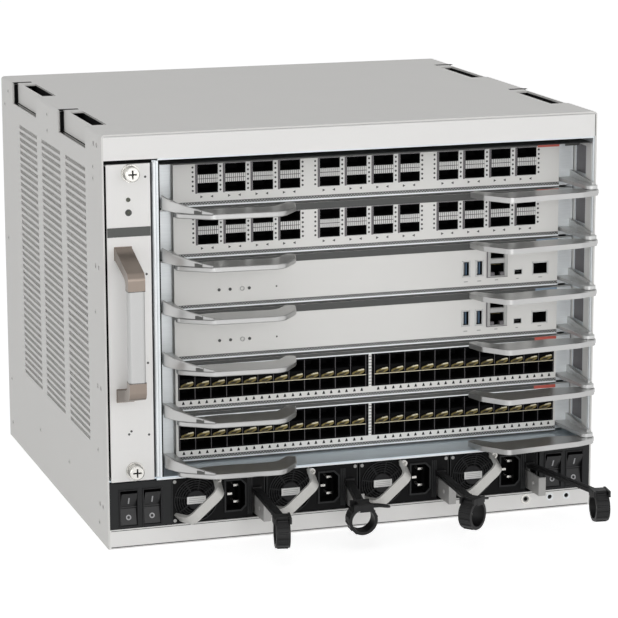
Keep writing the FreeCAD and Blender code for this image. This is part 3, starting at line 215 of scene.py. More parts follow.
soften("fan_tray_handle_ends", 2.2, 4)
for slot in SLOTS:
    soften("card_%d_lever" % slot, 0.7)
for number in SUPPLIES:
    soften("supply_%d_handle" % number, 0.6, 2)
    soften("supply_%d_latch" % number, 0.3, 2)
    soften("rocker_%d" % number, 0.5, 2)


# --- mesh building

class Build:
    """Collects simple solids into one mesh, in millimetres, and makes it a piece that rides on a body."""

    def __init__(self):
        self.mesh = bmesh.new()

    def box(self, x, y, z, turn=None, about=None):
        """A box between pairs of x, y and z, turned about a point where a turn is given."""
        corners = [Vector((i, j, k)) for i in x for j in y for k in z]
        if turn is not None:
            pivot = Vector(about)
            corners = [turn @ (corner - pivot) + pivot for corner in corners]
        v = [self.mesh.verts.new(corner * MM) for corner in corners]
        for face in ((0, 1, 3, 2), (4, 6, 7, 5), (0, 4, 5, 1), (2, 3, 7, 6), (0, 2, 6, 4), (1, 5, 7, 3)):
            self.mesh.faces.new([v[i] for i in face])
        return self

    def tray(self, x, y, z):
        """A box open at y[0] and closed at y[1], for the inside of a socket."""
        rim = ((x[0], z[0]), (x[1], z[0]), (x[1], z[1]), (x[0], z[1]))
        a, b = [[self.mesh.verts.new(Vector((i, depth, k)) * MM) for i, k in rim] for depth in y]
        for i in range(4):
            self.mesh.faces.new([a[i], b[i], b[(i + 1) % 4], a[(i + 1) % 4]])
        self.mesh.faces.new([b[0], b[3], b[2], b[1]])
        return self

    def disc(self, centre, radius, length, axis="y", sides=20, inner=0.0, top=None):
        """A cylinder, cone frustum or ring along one axis, from its centre point."""
        place = {"x": lambda u, v, w: (w, u, v), "y": lambda u, v, w: (u, w, v),
                 "z": lambda u, v, w: (u, v, w)}[axis]

        def ring(distance, size):
            angles = [2 * math.pi * i / sides for i in range(sides)]
            return [self.mesh.verts.new((Vector(centre) + Vector(place(
                size * math.cos(t), size * math.sin(t), distance))) * MM) for t in angles]

        first, last = ring(0, radius), ring(length, radius if top is None else top)
        after = [(i + 1) % sides for i in range(sides)]
        for i, j in enumerate(after):
            self.mesh.faces.new([first[i], first[j], last[j], last[i]])
        if inner:
            near, far = ring(0, inner), ring(length, inner)
            for i, j in enumerate(after):
                self.mesh.faces.new([near[j], near[i], far[i], far[j]])
                self.mesh.faces.new([first[j], first[i], near[i], near[j]])
                self.mesh.faces.new([last[i], last[j], far[j], far[i]])
        else:
            self.mesh.faces.new(list(reversed(first)))
            self.mesh.faces.new(last)
        return self

    def prism(self, outline, z, place):
        """A flat outline between two levels, put in place by a function."""
        return self.loft([[place(Vector((x, y, level))) for x, y in outline] for level in z])

    def loft(self, sections):
        """A solid through closed sections, each a list of points."""
        loops = [[self.mesh.verts.new(Vector(point) * MM) for point in section] for section in sections]
        count = len(loops[0])
        for a, b in zip(loops, loops[1:]):
            for i in range(count):
                j = (i + 1) % count
                self.mesh.faces.new([a[i], a[j], b[j], b[i]])
        self.mesh.faces.new(list(reversed(loops[0])))
        self.mesh.faces.new(loops[-1])
        return self

    def piece(self, name, key, body, slot, bevel=0.0, smooth=False):
        """Finish the mesh as a named object with a material, riding on its body."""
        bmesh.ops.recalc_face_normals(self.mesh, faces=self.mesh.faces)
        data = bpy.data.meshes.new(name)
        self.mesh.to_mesh(data)
        self.mesh.free()
        obj = bpy.data.objects.new(name, data)
        bpy.context.scene.collection.objects.link(obj)
        data.materials.append(M[key])
        if bevel:
            edge = obj.modifiers.new("edge", "BEVEL")
            edge.width = bevel * MM
            edge.segments = 2
            edge.limit_method = "ANGLE"
        if smooth:
            for polygon in data.polygons:
                polygon.use_smooth = True
            data.set_sharp_from_angle(angle=math.radians(35))
        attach(obj, body)
        return obj


def builds(count):
    """Several meshes at once."""
    return [Build() for _ in range(count)]


def rounded(points, steps=5):
    """An outline of (x, y, cut) corners with each corner eased over its cut length."""
    out = []
    for index, (x, y, size) in enumerate(points):
        here = Vector((x, y))
        before = Vector(points[index - 1][:2]) - here
        after = Vector(points[(index + 1) % len(points)][:2]) - here
        first = here + before.normalized() * min(size, before.length * 0.48)
        last = here + after.normalized() * min(size, after.length * 0.48)
        for k in range(steps + 1):
            t = k / steps
            out.append(tuple(first * (1 - t) ** 2 + here * (2 * t * (1 - t)) + last * t ** 2))
    return out


def corners(node):
    """A node's box in millimetres."""
    low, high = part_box(node)
    return Vector(low) / MM, Vector(high) / MM


def pivot_of(child):
    """The point that a body turns about, in millimetres."""
    joints = frame["record"]["behaviour"]["joints"]
    return Vector(next(j for j in joints if j["child"] == child)["pos_m"]) / MM


# --- chassis

wrap_low, wrap_high = corners("outer_wrap")
FRONT = wrap_low.y
HALF = wrap_high.x
TOP = wrap_high.z
VENT_ROWS, VENT_LOW, VENT_PITCH, VENT_GAP = 40, 81.0, 6.0, 3.4
POCKET_STARTS = (-146.0, 49.0)
FITTING_LEVEL = 10.7
FACE_LIFT = 0.5


def mirrored(side, a, b):
    """A span from a to b on the right, or its mirror on the left."""
    return sorted((side * a, side * b))


def chassis():
    """Vent bars, side screws with a painted shade cross, pocket linings with painted shadow in the pocket
    gaps, rear covers, and the foot's small fittings with the rail's painted shadow lines.
    """
    bars = Build()
    for side in (-1, 1):
        for column in range(3):
            for step in range(20):
                y = -10.0 + 96.0 * (column - 1) - 38 + step * 3.8
                bars.box(mirrored(side, HALF - 1.45, HALF - 0.95), (y - 0.5, y + 0.5),
                         (VENT_LOW - 1, VENT_LOW + VENT_PITCH * (VENT_ROWS - 1) + VENT_GAP + 1))
    bars.piece("vent_perforation", "shell", "chassis", "shell_paint")

    heads, crosses = builds(2)
    for side in (-1, 1):
        spots = [(1.3, 344.6), (1.3, 330.0), (-173.5, 323.9), (-173.5, 314.0), (-173.5, 200.0),
                 (-173.5, 80.0), (188, 330), (188, 200), (188, 60), (188, 16), (60, 40), (-60, 40),
                 (-173.5, 16), (172, 344)]
        for y, z in spots:
            heads.disc((side * HALF - (0.15 if side > 0 else 0.35), y, z), 2.3, 0.5, "x", 16)
            # a dark cross painted as the shade in each screw's recess
            for wide, high in ((1.3, 0.25), (0.25, 1.3)):
                crosses.box(mirrored(side, HALF + 0.3, HALF + 0.45), (y - wide, y + wide),
                            (z - high, z + high))
    heads.piece("side_screws", "shell", "chassis", "shell_paint", smooth=True)
    crosses.piece("side_screw_slot_shades", "strip", "chassis", "zinc_sheet")

    walls, linings, gaps = builds(3)
    for start in POCKET_STARTS:
        for side in (-1, 1):
            walls.box(mirrored(side, HALF - 1.7, HALF - 4.7), (start + 103.0, start + 103.9),
                      (TOP - 19.2, TOP - 1.4))
            # thin dark plates painted as the shadow in the gaps round the pocket's panel edges
            for near, far, y0, y1, z0, z1 in (
                    (1.5, 4.95, 103.95, 104.1, -19.6, -0.6), (0.4, 18.0, 99.0, 104.8, 0.02, 0.12),
                    (1.5, 4.95, 101.2, 101.9, -19.2, -1.4), (4.6, 4.9, 0.5, 103.0, -19.7, -18.9)):
                gaps.box(mirrored(side, HALF - near, HALF - far), (start + y0, start + y1),
                         (TOP + z0, TOP + z1))
            x0, x1 = mirrored(side, HALF - 6.6, HALF - 18.9)
            y0, y1 = start + 0.1, start + 103.9
            z0, z1 = TOP - 19.9, TOP - 1.6
            sheet = 0.3
            for span_x, span_y, span_z in (
                    ((x0, x1), (y0, y1), (z0, z0 + sheet)), ((x0, x0 + sheet), (y0, y1), (z0, z1)),
                    ((x1 - sheet, x1), (y0, y1), (z0, z1)), ((x0, x1), (y0, y0 + sheet), (z0, z1)),
                    ((x0, x1), (y1 - sheet, y1), (z0, z1))):
                linings.box(span_x, span_y, span_z)
    walls.piece("pocket_end_walls", "shell", "chassis", "shell_paint")
    linings.piece("pocket_linings", "dark", "chassis", "dark_plastic")
    gaps.piece("pocket_gap_shades", "dark", "chassis", "dark_plastic")

    # plain finish of the rear: two covers with their screws
    covers, screws = builds(2)
    rear = corners("rear_panel")[1].y
    for x in (-1, 1):
        covers.box((x * 106 - 100, x * 106 + 100), (rear - 0.1, rear + 0.9), (20, 334))
        for sx in (-94, 94):
            for z in (28, 120, 235, 326):
                screws.disc((x * 106 + sx, rear + 0.8, z), 2.6, 0.7, "y", 16)
    covers.piece("rear_covers", "zinc", "chassis", "zinc_sheet", bevel=0.4)
    screws.piece("rear_screws", "screw", "chassis", "zinc_sheet", smooth=True)

    bezel_low, bezel_high = corners("front_bezel")
    Build().box((bezel_low.x + 0.6, bezel_high.x - 0.6), (FRONT - 0.15, FRONT + 0.5),
                (bezel_high.z - 0.5, bezel_high.z - 0.2)).piece(
        "bezel_top_line", "grip", "chassis", "light_paint")

    rail = Build()
    # dark lines painted as the shadow at the rail's top and at its foot
    rail.box((-HALF + 2.5, HALF - 2.5), (FRONT - 0.35, FRONT + 0.3), (1.2, 1.9))
    rail.box((-HALF + 2.5, HALF - 2.5), (FRONT - 0.25, FRONT + 0.3), (15.6, 16.1))
    rail.piece("rail_shadow_lines", "strip", "chassis", "light_paint")
    Build().disc((159, FRONT - 0.5, FITTING_LEVEL), 4.6, 0.8, "y", 28, inner=3.0).piece(
        "jack_ring", "nickel", "chassis", "nickel", smooth=True)
    Build().disc((159, FRONT + 0.2, FITTING_LEVEL), 2.85, 8.0, "y", 24, inner=1.9).piece(
        "jack_sleeve", "screw", "chassis", "nickel", smooth=True)
    marks = Build()
    for x in (182.1, 198.0):
        marks.disc((x, FRONT - 0.15, FITTING_LEVEL), 3.4, 0.3, "y", 24, inner=2.1)
    marks.piece("ground_rings", "bright", "chassis", "zinc_sheet", smooth=True)


chassis()


def divider_and_shelf():
    """The bright rolled edge of the divider, the gap beside it, and the shelf's front edge."""
    low, high = corners("cage_divider")
    Build().disc((low.x + 1.5, FRONT - 0.1, low.z + 1), 1.45, high.z - low.z - 2, "z", 16).piece(
        "divider_bead", "bright", "chassis", "zinc_sheet", smooth=True)
    Build().box((high.x - 1.2, high.x - 0.4), (FRONT - 0.25, FRONT + 1), (low.z, high.z)).piece(
        "divider_edge", "bright", "chassis", "zinc_sheet")
    Build().box((high.x - 0.1, high.x + 1.4), (FRONT + 1.0, FRONT + 1.5), (low.z, high.z)).piece(
        "divider_shadow_gap", "dark", "chassis", "zinc_sheet")
    s_low, s_high = corners("cage_shelf")
    Build().box((s_low.x + 41.5, s_high.x), (FRONT - 0.4, FRONT + 0.6), (s_low.z, s_low.z + 1.3)).piece(
        "shelf_front_edge", "bright", "chassis", "zinc_sheet", bevel=0.2)


divider_and_shelf()


def cage_walls():
    """Left and right inner walls: painted highlight lines beside each claw window, and a painted shade plate
    behind each window that makes it dark.
    """
    low, high = corners("cage_frame")
    highlight_lines, painted_window_shade = builds(2)
    for slot in SLOTS:
        floor = corners("card_%d_face" % slot)[0].z - FACE_LIFT
        for side, x in ((-1, low.x + 1.3), (1, high.x - 1.3)):
            inner = (x, x + 0.25) if side < 0 else (x - 0.25, x)
            # white lines painted as highlights on the edges of each window
            highlight_lines.box(inner, (-200.5, -189.2), (floor + 10.5, floor + 42.5))
            highlight_lines.box(inner, (-165.0, -161.0), (floor + 10.5, floor + 42.5))
            highlight_lines.box(inner, (-189.2, -165.0), (floor + 39.8, floor + 42.5))
            behind = (x + 0.7, x + 0.95) if side > 0 else (x - 0.95, x - 0.7)
            # dark plates painted as the shade seen through each window
            painted_window_shade.box(behind, (-187.9, -166.1), (floor + 14.6, floor + 39.4))
    highlight_lines.piece("cage_wall_highlights", "label", "chassis", "zinc_sheet")
    painted_window_shade.piece("cage_window_shades", "shade", "chassis", "zinc_sheet")
    bezel_low, bezel_high = corners("front_bezel")
    under = Build()
    under.box((-171.0, 217.8), (FRONT + 3.0, FRONT + 34.0), (bezel_low.z - 5.9, bezel_low.z - 5.75))
    under.box((204.0, 217.9), (FRONT + 30.0, FRONT + 30.4), (bezel_low.z - 12.0, bezel_low.z - 5.8))
    under.piece("bezel_underside_shade", "strip", "chassis", "zinc_sheet")
    Build().box((bezel_high.x - 0.5, bezel_high.x + 0.1), (FRONT - 0.1, FRONT + 0.4),
                (bezel_low.z + 0.4, bezel_high.z - 0.6)).piece(
        "bezel_end_line", "strip", "chassis", "light_paint")


cage_walls()


# --- fan tray

def fan_tray():
    """Label band, painted shade in the gaps at its side and top, lamps, small holes and handle rims of the
    fan tray.
    """
    low, high = corners("fan_tray_frame")
    Build().box((low.x + 0.2, high.x - 0.2), (FRONT - 0.35, FRONT + 0.2), (268.4, 276.3)).piece(
        "tray_label_band", "band", "fan_tray", "light_paint")
    # dark plates painted as the shade in the gaps at the tray's left side and above its top
    Build().box((low.x + 0.05, low.x + 0.25), (FRONT + 1.6, FRONT + 26), (low.z + 3.4, high.z - 1.6)).piece(
        "tray_side_gap_shade", "dark", "fan_tray", "light_paint")
    Build().box((-219.4, high.x + 1.8), (FRONT + 2.2, FRONT + 2.6), (high.z + 0.25, high.z + 3.4)).piece(
        "tray_top_gap_shade", "dark", "chassis", "light_paint")
    led = Build()
    led.disc((-199, FRONT - 0.8, 299.4), 1.7, 1.0, "y", 20, top=2.0)
    led.disc((-199, FRONT - 0.9, 288.6), 1.5, 1.1, "y", 20, top=1.7)
    led.piece("tray_led", "led", "fan_tray", "light_paint", smooth=True)
    Build().disc((-199, FRONT - 0.5, 288.6), 2.8, 0.7, "y", 24, inner=1.7).piece(
        "tray_ring", "strip", "fan_tray", "light_paint", smooth=True)
    dots = Build()
    for x, z in ((-184.3, 318), (-184.3, 236), (-184.3, 160), (-184.3, 98), (-199.5, 102), (-201.5, 99.5)):
        dots.disc((x, FRONT - 0.2, z), 1.0, 0.3, "y", 12)
    dots.piece("tray_small_holes", "strip", "fan_tray", "light_paint")
    seams = Build()
    g_low, g_high = corners("fan_tray_grip")
    for z in (g_low.z + 0.1, g_high.z - 0.6):
        seams.box((g_low.x - 0.1, g_high.x + 0.1), (g_low.y - 0.1, g_high.y + 0.1), (z, z + 0.5))
    seams.piece("grip_seams", "strip", "fan_tray", "grip_grey", bevel=0.1)
    roots = Build()
    e_low, e_high = corners("fan_tray_handle_ends")
    for z in ((e_low.z - 0.4, e_low.z + 11.2), (e_high.z - 11.2, e_high.z + 0.4)):
        roots.box((e_low.x - 0.4, e_high.x + 0.4), (FRONT - 0.6, FRONT + 0.1), z)
    roots.piece("handle_foot_rims", "bronze", "fan_tray", "bronze", bevel=0.25)


fan_tray()


def thumbscrew(name):
    """Knurling round a thumbscrew's head, its groove and the shade in its cross."""
    low, high = corners(name)
    x = (low.x + high.x) / 2
    z = (low.z + high.z) / 2
    knurl = Build()
    for index in range(36):
        turn = Matrix.Rotation(2 * math.pi * index / 36, 3, "Y")
        knurl.box((x - 0.28, x + 0.28), (low.y + 1.3, low.y + 5.6), (z + 5.9, z + 6.45), turn, (x, 0, z))
    knurl.piece(name + "_knurl", "screw", name, "nickel")
    Build().disc((x, low.y + 5.9, z), 6.35, 0.5, "y", 40, inner=6.0).piece(
        name + "_groove", "strip", name, "nickel", smooth=True)
    recess = Build()
    recess.box((x - 3.5, x + 3.5), (low.y + 2.2, low.y + 2.4), (z - 0.62, z + 0.62))
    recess.box((x - 0.62, x + 0.62), (low.y + 2.2, low.y + 2.4), (z - 3.5, z + 3.5))
    recess.piece(name + "_recess_shade", "dark", name, "nickel")


thumbscrew("thumbscrew_top")
thumbscrew("thumbscrew_bottom")


# --- cards

def card_common(slot, tag, strip_low=38.1):
    """Strips, tag, gasket with its painted shade band, and margin plates of one card; returns what its own
    details are placed from.
    """
    name = "card_%d" % slot
    low, high = corners(name + "_face")
    floor = low.z - FACE_LIFT
    face_y = low.y
    strip = Build()
    strip.box((low.x, high.x - 21.0), (face_y - 0.45, face_y + 0.1), (floor + strip_low, floor + 43.9))
    strip.box((low.x, high.x), (face_y - 0.45, face_y + 0.1), (floor + 0.55, floor + 1.7))
    # the dark band over the gasket fingers is painted shade; the strips above and below it are the card's own
    # dark strips
    strip.box((low.x, high.x), (face_y - 0.3, face_y + 0.1), (floor + 3.0, floor + 5.5))
    strip.piece(name + "_dark_strips_and_gasket_shade", "strip", name, "light_paint")
    Build().box((high.x - 20.8, high.x - 0.2), (face_y - 0.5, face_y + 0.1),
                (floor + min(strip_low, 39.0) - 1.0, floor + 43.9)).piece(
        name + "_tag", tag, name, "light_paint")
    gasket = Build()
    gasket.box((low.x, high.x), (face_y - 0.9, face_y + 0.1), (floor + 1.8, floor + 2.9))
    if strip_low > 41:
        gasket.box((low.x, high.x), (face_y - 0.7, face_y + 0.1), (floor + 40.2, floor + 41.1))
    gasket.piece(name + "_gasket_lines", "bright", name, "zinc_sheet")
    beads = Build()
    step = low.x + 1.0
    while step < high.x - 1:
        beads.box((step, step + 1.1), (face_y - 0.5, face_y + 0.1), (floor + 3.3, floor + 3.8))
        beads.box((step + 1.3, step + 2.3), (face_y - 0.5, face_y + 0.1), (floor + 4.4, floor + 4.9))
        step += 2.6
    beads.piece(name + "_gasket_beads", "cage", name, "zinc_sheet")
    # zinc plates in the margins beside the face
    plates = Build()
    margin_y = face_y + 7.2
    for x0, x1 in ((low.x - 20.0, low.x - 0.6), (high.x + 0.6, high.x + 16.2)):
        plates.box((x0, x1), (margin_y - 1.1, margin_y), (floor + 1.2, floor + 42.6))
    plates.piece(name + "_margin_plates", "bright", name, "zinc_sheet", bevel=0.3)
    return name, low.x, floor, face_y


def lever_look(slot):
    """Left lever with a narrow neck under its arm's sloping band, painted highlights on its front edge and on
    the band's top, and painted shade at the band's foot; round boss on the right one.
    """
    card = "card_%d" % slot
    name = card + "_lever_left"
    pivot = pivot_of(name)
    low, high = corners(name)
    paddle = Build()
    outline = rounded([
        (-4.4, 1.0, 2.4), (-3.2, -3.6, 2.4), (4.0, -8.4, 3), (17.8, -17.6, 2), (23.5, -20.6, 5),
        (83.7, -24.0, 8), (100.7, -2.4, 5), (106.0, 16.8, 2.2), (98.6, 21.0, 2), (93.8, 15.1, 2),
        (84.8, 5.0, 8), (65.7, 5.5, 14), (31.8, 8.8, 12), (6.0, 4.5, 4), (-3.3, 4.5, 3)])
    paddle.prism(outline, (low.z, high.z), lambda p: Vector((pivot.x + p.x, pivot.y + p.y, p.z)))
    look = paddle.piece(name + "_paddle", "lever", name, "lever_metal", bevel=0.9, smooth=True)
    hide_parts(name)
    # a pale strip painted as the highlight along the paddle's front edge
    edge = Build()
    edge.loft([[(pivot.x + u, pivot.y + v - 0.15, z) for z in (low.z + 0.9, high.z - 0.5)]
               + [(pivot.x + u, pivot.y + v + 0.1, z) for z in (high.z - 0.5, low.z + 0.9)]
               for u, v in ((25.0, -20.68), (40.0, -21.53), (60.0, -22.66), (78.0, -23.68))])
    edge.piece(name + "_painted_highlight_edge", "grip", name, "lever_metal")

    floor = low.z - 0.7
    path = ((-14.2, 6.0, 7.0, 18.8), (-7.5, -4.4, 6.3, 15.2), (4.0, -11.0, 5.5, 11.2),
            (14.0, -17.0, 5.4, 8.4), (22.5, -21.6, 5.4, 6.4))

    def bar(u, v, du, dv, z0, z1):
        """An upright section of a bar, from (u, v) to (u + du, v + dv)."""
        ends = ((pivot.x + u, pivot.y + v), (pivot.x + u + du, pivot.y + v + dv))
        return [(*ends[k], floor + z) for k, z in ((0, z0), (1, z0), (1, z1), (0, z1))]

    band, rim = builds(2)
    band.loft([bar(u, v, 1.1, 1.9, base, top) for u, v, base, top in path])
    band.piece(card + "_arm_band", "lever", card, "lever_metal", bevel=0.5, smooth=True)
    # a pale cap painted as the highlight along the top of the band
    rim.loft([bar(u - 0.1, v - 0.2, 1.4, 2.3, top - 0.7, top + 0.15) for u, v, base, top in path])
    rim.piece(card + "_arm_band_highlight", "grip", card, "lever_metal")
    # a dark strip painted as shade on the lower front of the arm band, where it meets the paddle
    clip = Build()
    clip.loft([[(pivot.x + u, pivot.y + v, floor + z) for z in (5.5, 8.5)]
               + [(pivot.x + u + 0.3, pivot.y + v + 0.5, floor + z) for z in (8.5, 5.5)]
               for u, v in ((8.6, -14.0), (14.4, -17.5))])
    clip.piece(card + "_arm_band_foot_shade", "gap_shade_grey", card, "lever_metal")

    name = card + "_lever_right"
    pivot = pivot_of(name)
    low, high = corners(name)
    Build().disc((pivot.x, pivot.y, low.z + 0.05), 7.2, high.z - low.z - 0.1, "z", 40).piece(
        name + "_boss", "lever", name, "lever_metal", bevel=0.8, smooth=True)


def qsfp_card(slot, tag):
    """Three groups of four port columns, with ribs, lamps and pale strips between them."""
    name, left, floor, y = card_common(slot, tag)
    liners, shadow_borders, ribs, rib_gaps, dots, whites = builds(6)
    x_first = left + 21.4
    for group in range(3):
        for column in range(4):
            x = x_first + 108.9 * group + 24.4 * column
            for z0 in (13.4, 29.2):
                liners.tray((x + 0.85, x + 17.05), (y - 0.05, y + 22), (floor + z0 + 0.15, floor + z0 + 7.65))
                low_z, high_z = floor + z0 - 0.35, floor + z0 + 8.15
                for span in ((x - 0.1, x + 0.9), (x + 17.0, x + 18.0)):
                    liners.box(span, (y - 0.1, y + 0.1), (low_z, high_z))
                for level in ((low_z, floor + z0 + 0.2), (floor + z0 + 7.6, high_z)):
                    liners.box((x + 0.8, x + 17.1), (y - 0.1, y + 0.1), level)
            # grey bars painted as the shadow on each port's left border, and a dark line painted as the
            # shadow along its top
            shadow_borders.box((x - 2.0, x - 0.3), (y - 0.25, y + 0.1), (floor + 12.6, floor + 37.8))
            shadow_borders.box((x - 0.5, x + 18.3), (y - 0.25, y + 0.1), (floor + 37.4, floor + 37.9))
            # a grey plate painted as the shade in the gaps between the ribs
            rib_gaps.box((x - 0.1, x + 18.0), (y - 0.15, y + 0.2), (floor + 21.6, floor + 28.8))
            for rib in range(10):
                rx = x + 0.25 + rib * 1.8
                ribs.box((rx, rx + 1.15), (y - 0.8, y), (floor + 21.7, floor + 24.9))
                ribs.box((rx, rx + 1.15), (y - 0.8, y), (floor + 25.5, floor + 28.7))
            for k, turned in ((2.4, 1), (13.6, -1)):
                dots.prism([(0, 0), (2.3 * turned, 1.15), (0, 2.3)], (0, 0.2),
                           lambda p, k=k, x=x: Vector((x + k + p.x, y - 0.05 - p.z, floor + 8.6 + p.y)))
            if column < 3:
                whites.box((x + 18.3, x + 21.7), (y - 0.3, y + 0.1), (floor + 12.9, floor + 38.0))
            for k in range(6):
                dots.disc((x + 20.1, y - 0.45, floor + 15.2 + k * 4.0), 0.95, 0.3, "y", 8)
                if column == 0:
                    dots.disc((x - 4.2, y - 0.12, floor + 15.2 + k * 4.0), 0.95, 0.2, "y", 8)
    liners.piece(name + "_port_liners", "dark", name, "zinc_sheet")
    shadow_borders.piece(name + "_port_shadow_edges", "shade", name, "zinc_sheet")
    rib_gaps.piece(name + "_rib_shadow", "gap_shade_grey", name, "zinc_sheet")
    ribs.piece(name + "_port_ribs", "label", name, "zinc_sheet")
    whites.piece(name + "_light_strips", "label", name, "light_paint", bevel=0.2)
    dots.piece(name + "_lamps", "strip", name, "light_paint")


def dense_card(slot, tag):
    """Two halves of twelve small port columns, with contact fingers between the rows."""
    name, left, floor, y = card_common(slot, tag, 41.3)
    liners, gold, fingers, light, shade, silver, dots, perforation = builds(8)
    first = left + 3.0
    pitch = 14.1
    length = pitch * 12
    for half in (0, 1):
        start = first + (length + 8.0) * half
        gold.box((start - 0.4, start + length + 0.4), (y - 0.12, y + 0.3), (floor + 21.3, floor + 29.5))
        edge = start + length
        for level in ((10.9, 12.4), (38.4, 40.0)):
            gold.box((start - 0.4, edge + 0.4), (y - 0.12, y + 0.1), (floor + level[0], floor + level[1]))
        # a thin pale line painted as the highlight along the lower edge of the finger row
        light.box((start, edge), (y - 1.0, y), (floor + 21.6, floor + 22.1))
        for column in range(13):
            x = start + pitch * column
            gold.box((x - 0.85, x + 0.85), (y - 0.12, y + 0.1), (floor + 11.0, floor + 39.8))
            silver.box((x - 0.17, x + 0.17), (y - 0.5, y), (floor + 11.6, floor + 39.4))
        for column in range(12):
            x = start + pitch * column
            for z0 in (12.2, 29.2):
                liners.tray((x + 0.75, x + 13.35), (y - 0.05, y + 22), (floor + z0 + 0.15, floor + z0 + 9.15))

            def on_bed(p, x=x):
                """From a finger's own outline to the bed between the rows."""
                return Vector((x + p.x, y - 0.15 - p.z, floor + 22.2 + p.y))

            fingers.prism(rounded([(1.2, 0.5, 0.5), (8.6, 0.4, 1), (12.6, 2.4, 1), (12.4, 4.6, 0.8),
                                   (8.6, 5.0, 1), (1.4, 2.4, 1)], 2), (0, 1.0), on_bed)
            # cream patches painted as highlights on each contact finger
            light.prism(rounded([(5.4, 3.6, 0.4), (7.6, 4.7, 0.4), (12.0, 5.2, 0.4), (12.2, 4.2, 0.4),
                                 (8.2, 3.8, 0.4)], 2), (0, 1.5), on_bed)
            shade.prism([(2.2, 1.0), (7.4, 1.1), (9.4, 2.7), (4.4, 2.3)], (0, 1.3), on_bed)
            for k in (3.6, 10.4):
                dots.prism([(-1.3, 0), (1.3, 0), (0.4, 2.6), (-0.4, 2.6)], (0, 0.2),
                           lambda p, k=k, x=x: Vector((x + k + p.x, y - 0.05 - p.z, floor + 7.3 + p.y)))
        near = edge + 0.3 if half == 0 else start - 2.6
        gold.box((near, near + 2.3), (y - 0.12, y + 0.1), (floor + 10.9, floor + 40.0))
    middle = first + length + 4.0
    for row in range(10):
        for column in range(2):
            perforation.disc((middle - 0.75 + column * 1.5, y - 0.12, floor + 12.6 + row * 2.8),
                             0.5, 0.2, "y", 8)
    for build, part, key, kind in (
            (liners, "_port_liners", "dark", "zinc_sheet"), (gold, "_finger_bed", "dark", "zinc_sheet"),
            (fingers, "_spring_fingers", "gold", "zinc_sheet"),
            (light, "_finger_highlights", "gold_highlight", "zinc_sheet"),
            (shade, "_finger_shades", "black", "zinc_sheet"), (silver, "_port_fins", "shade", "zinc_sheet"),
            (perforation, "_perforation", "strip", "light_paint"), (dots, "_lamps", "black", "light_paint")):
        build.piece(name + part, key, name, kind)


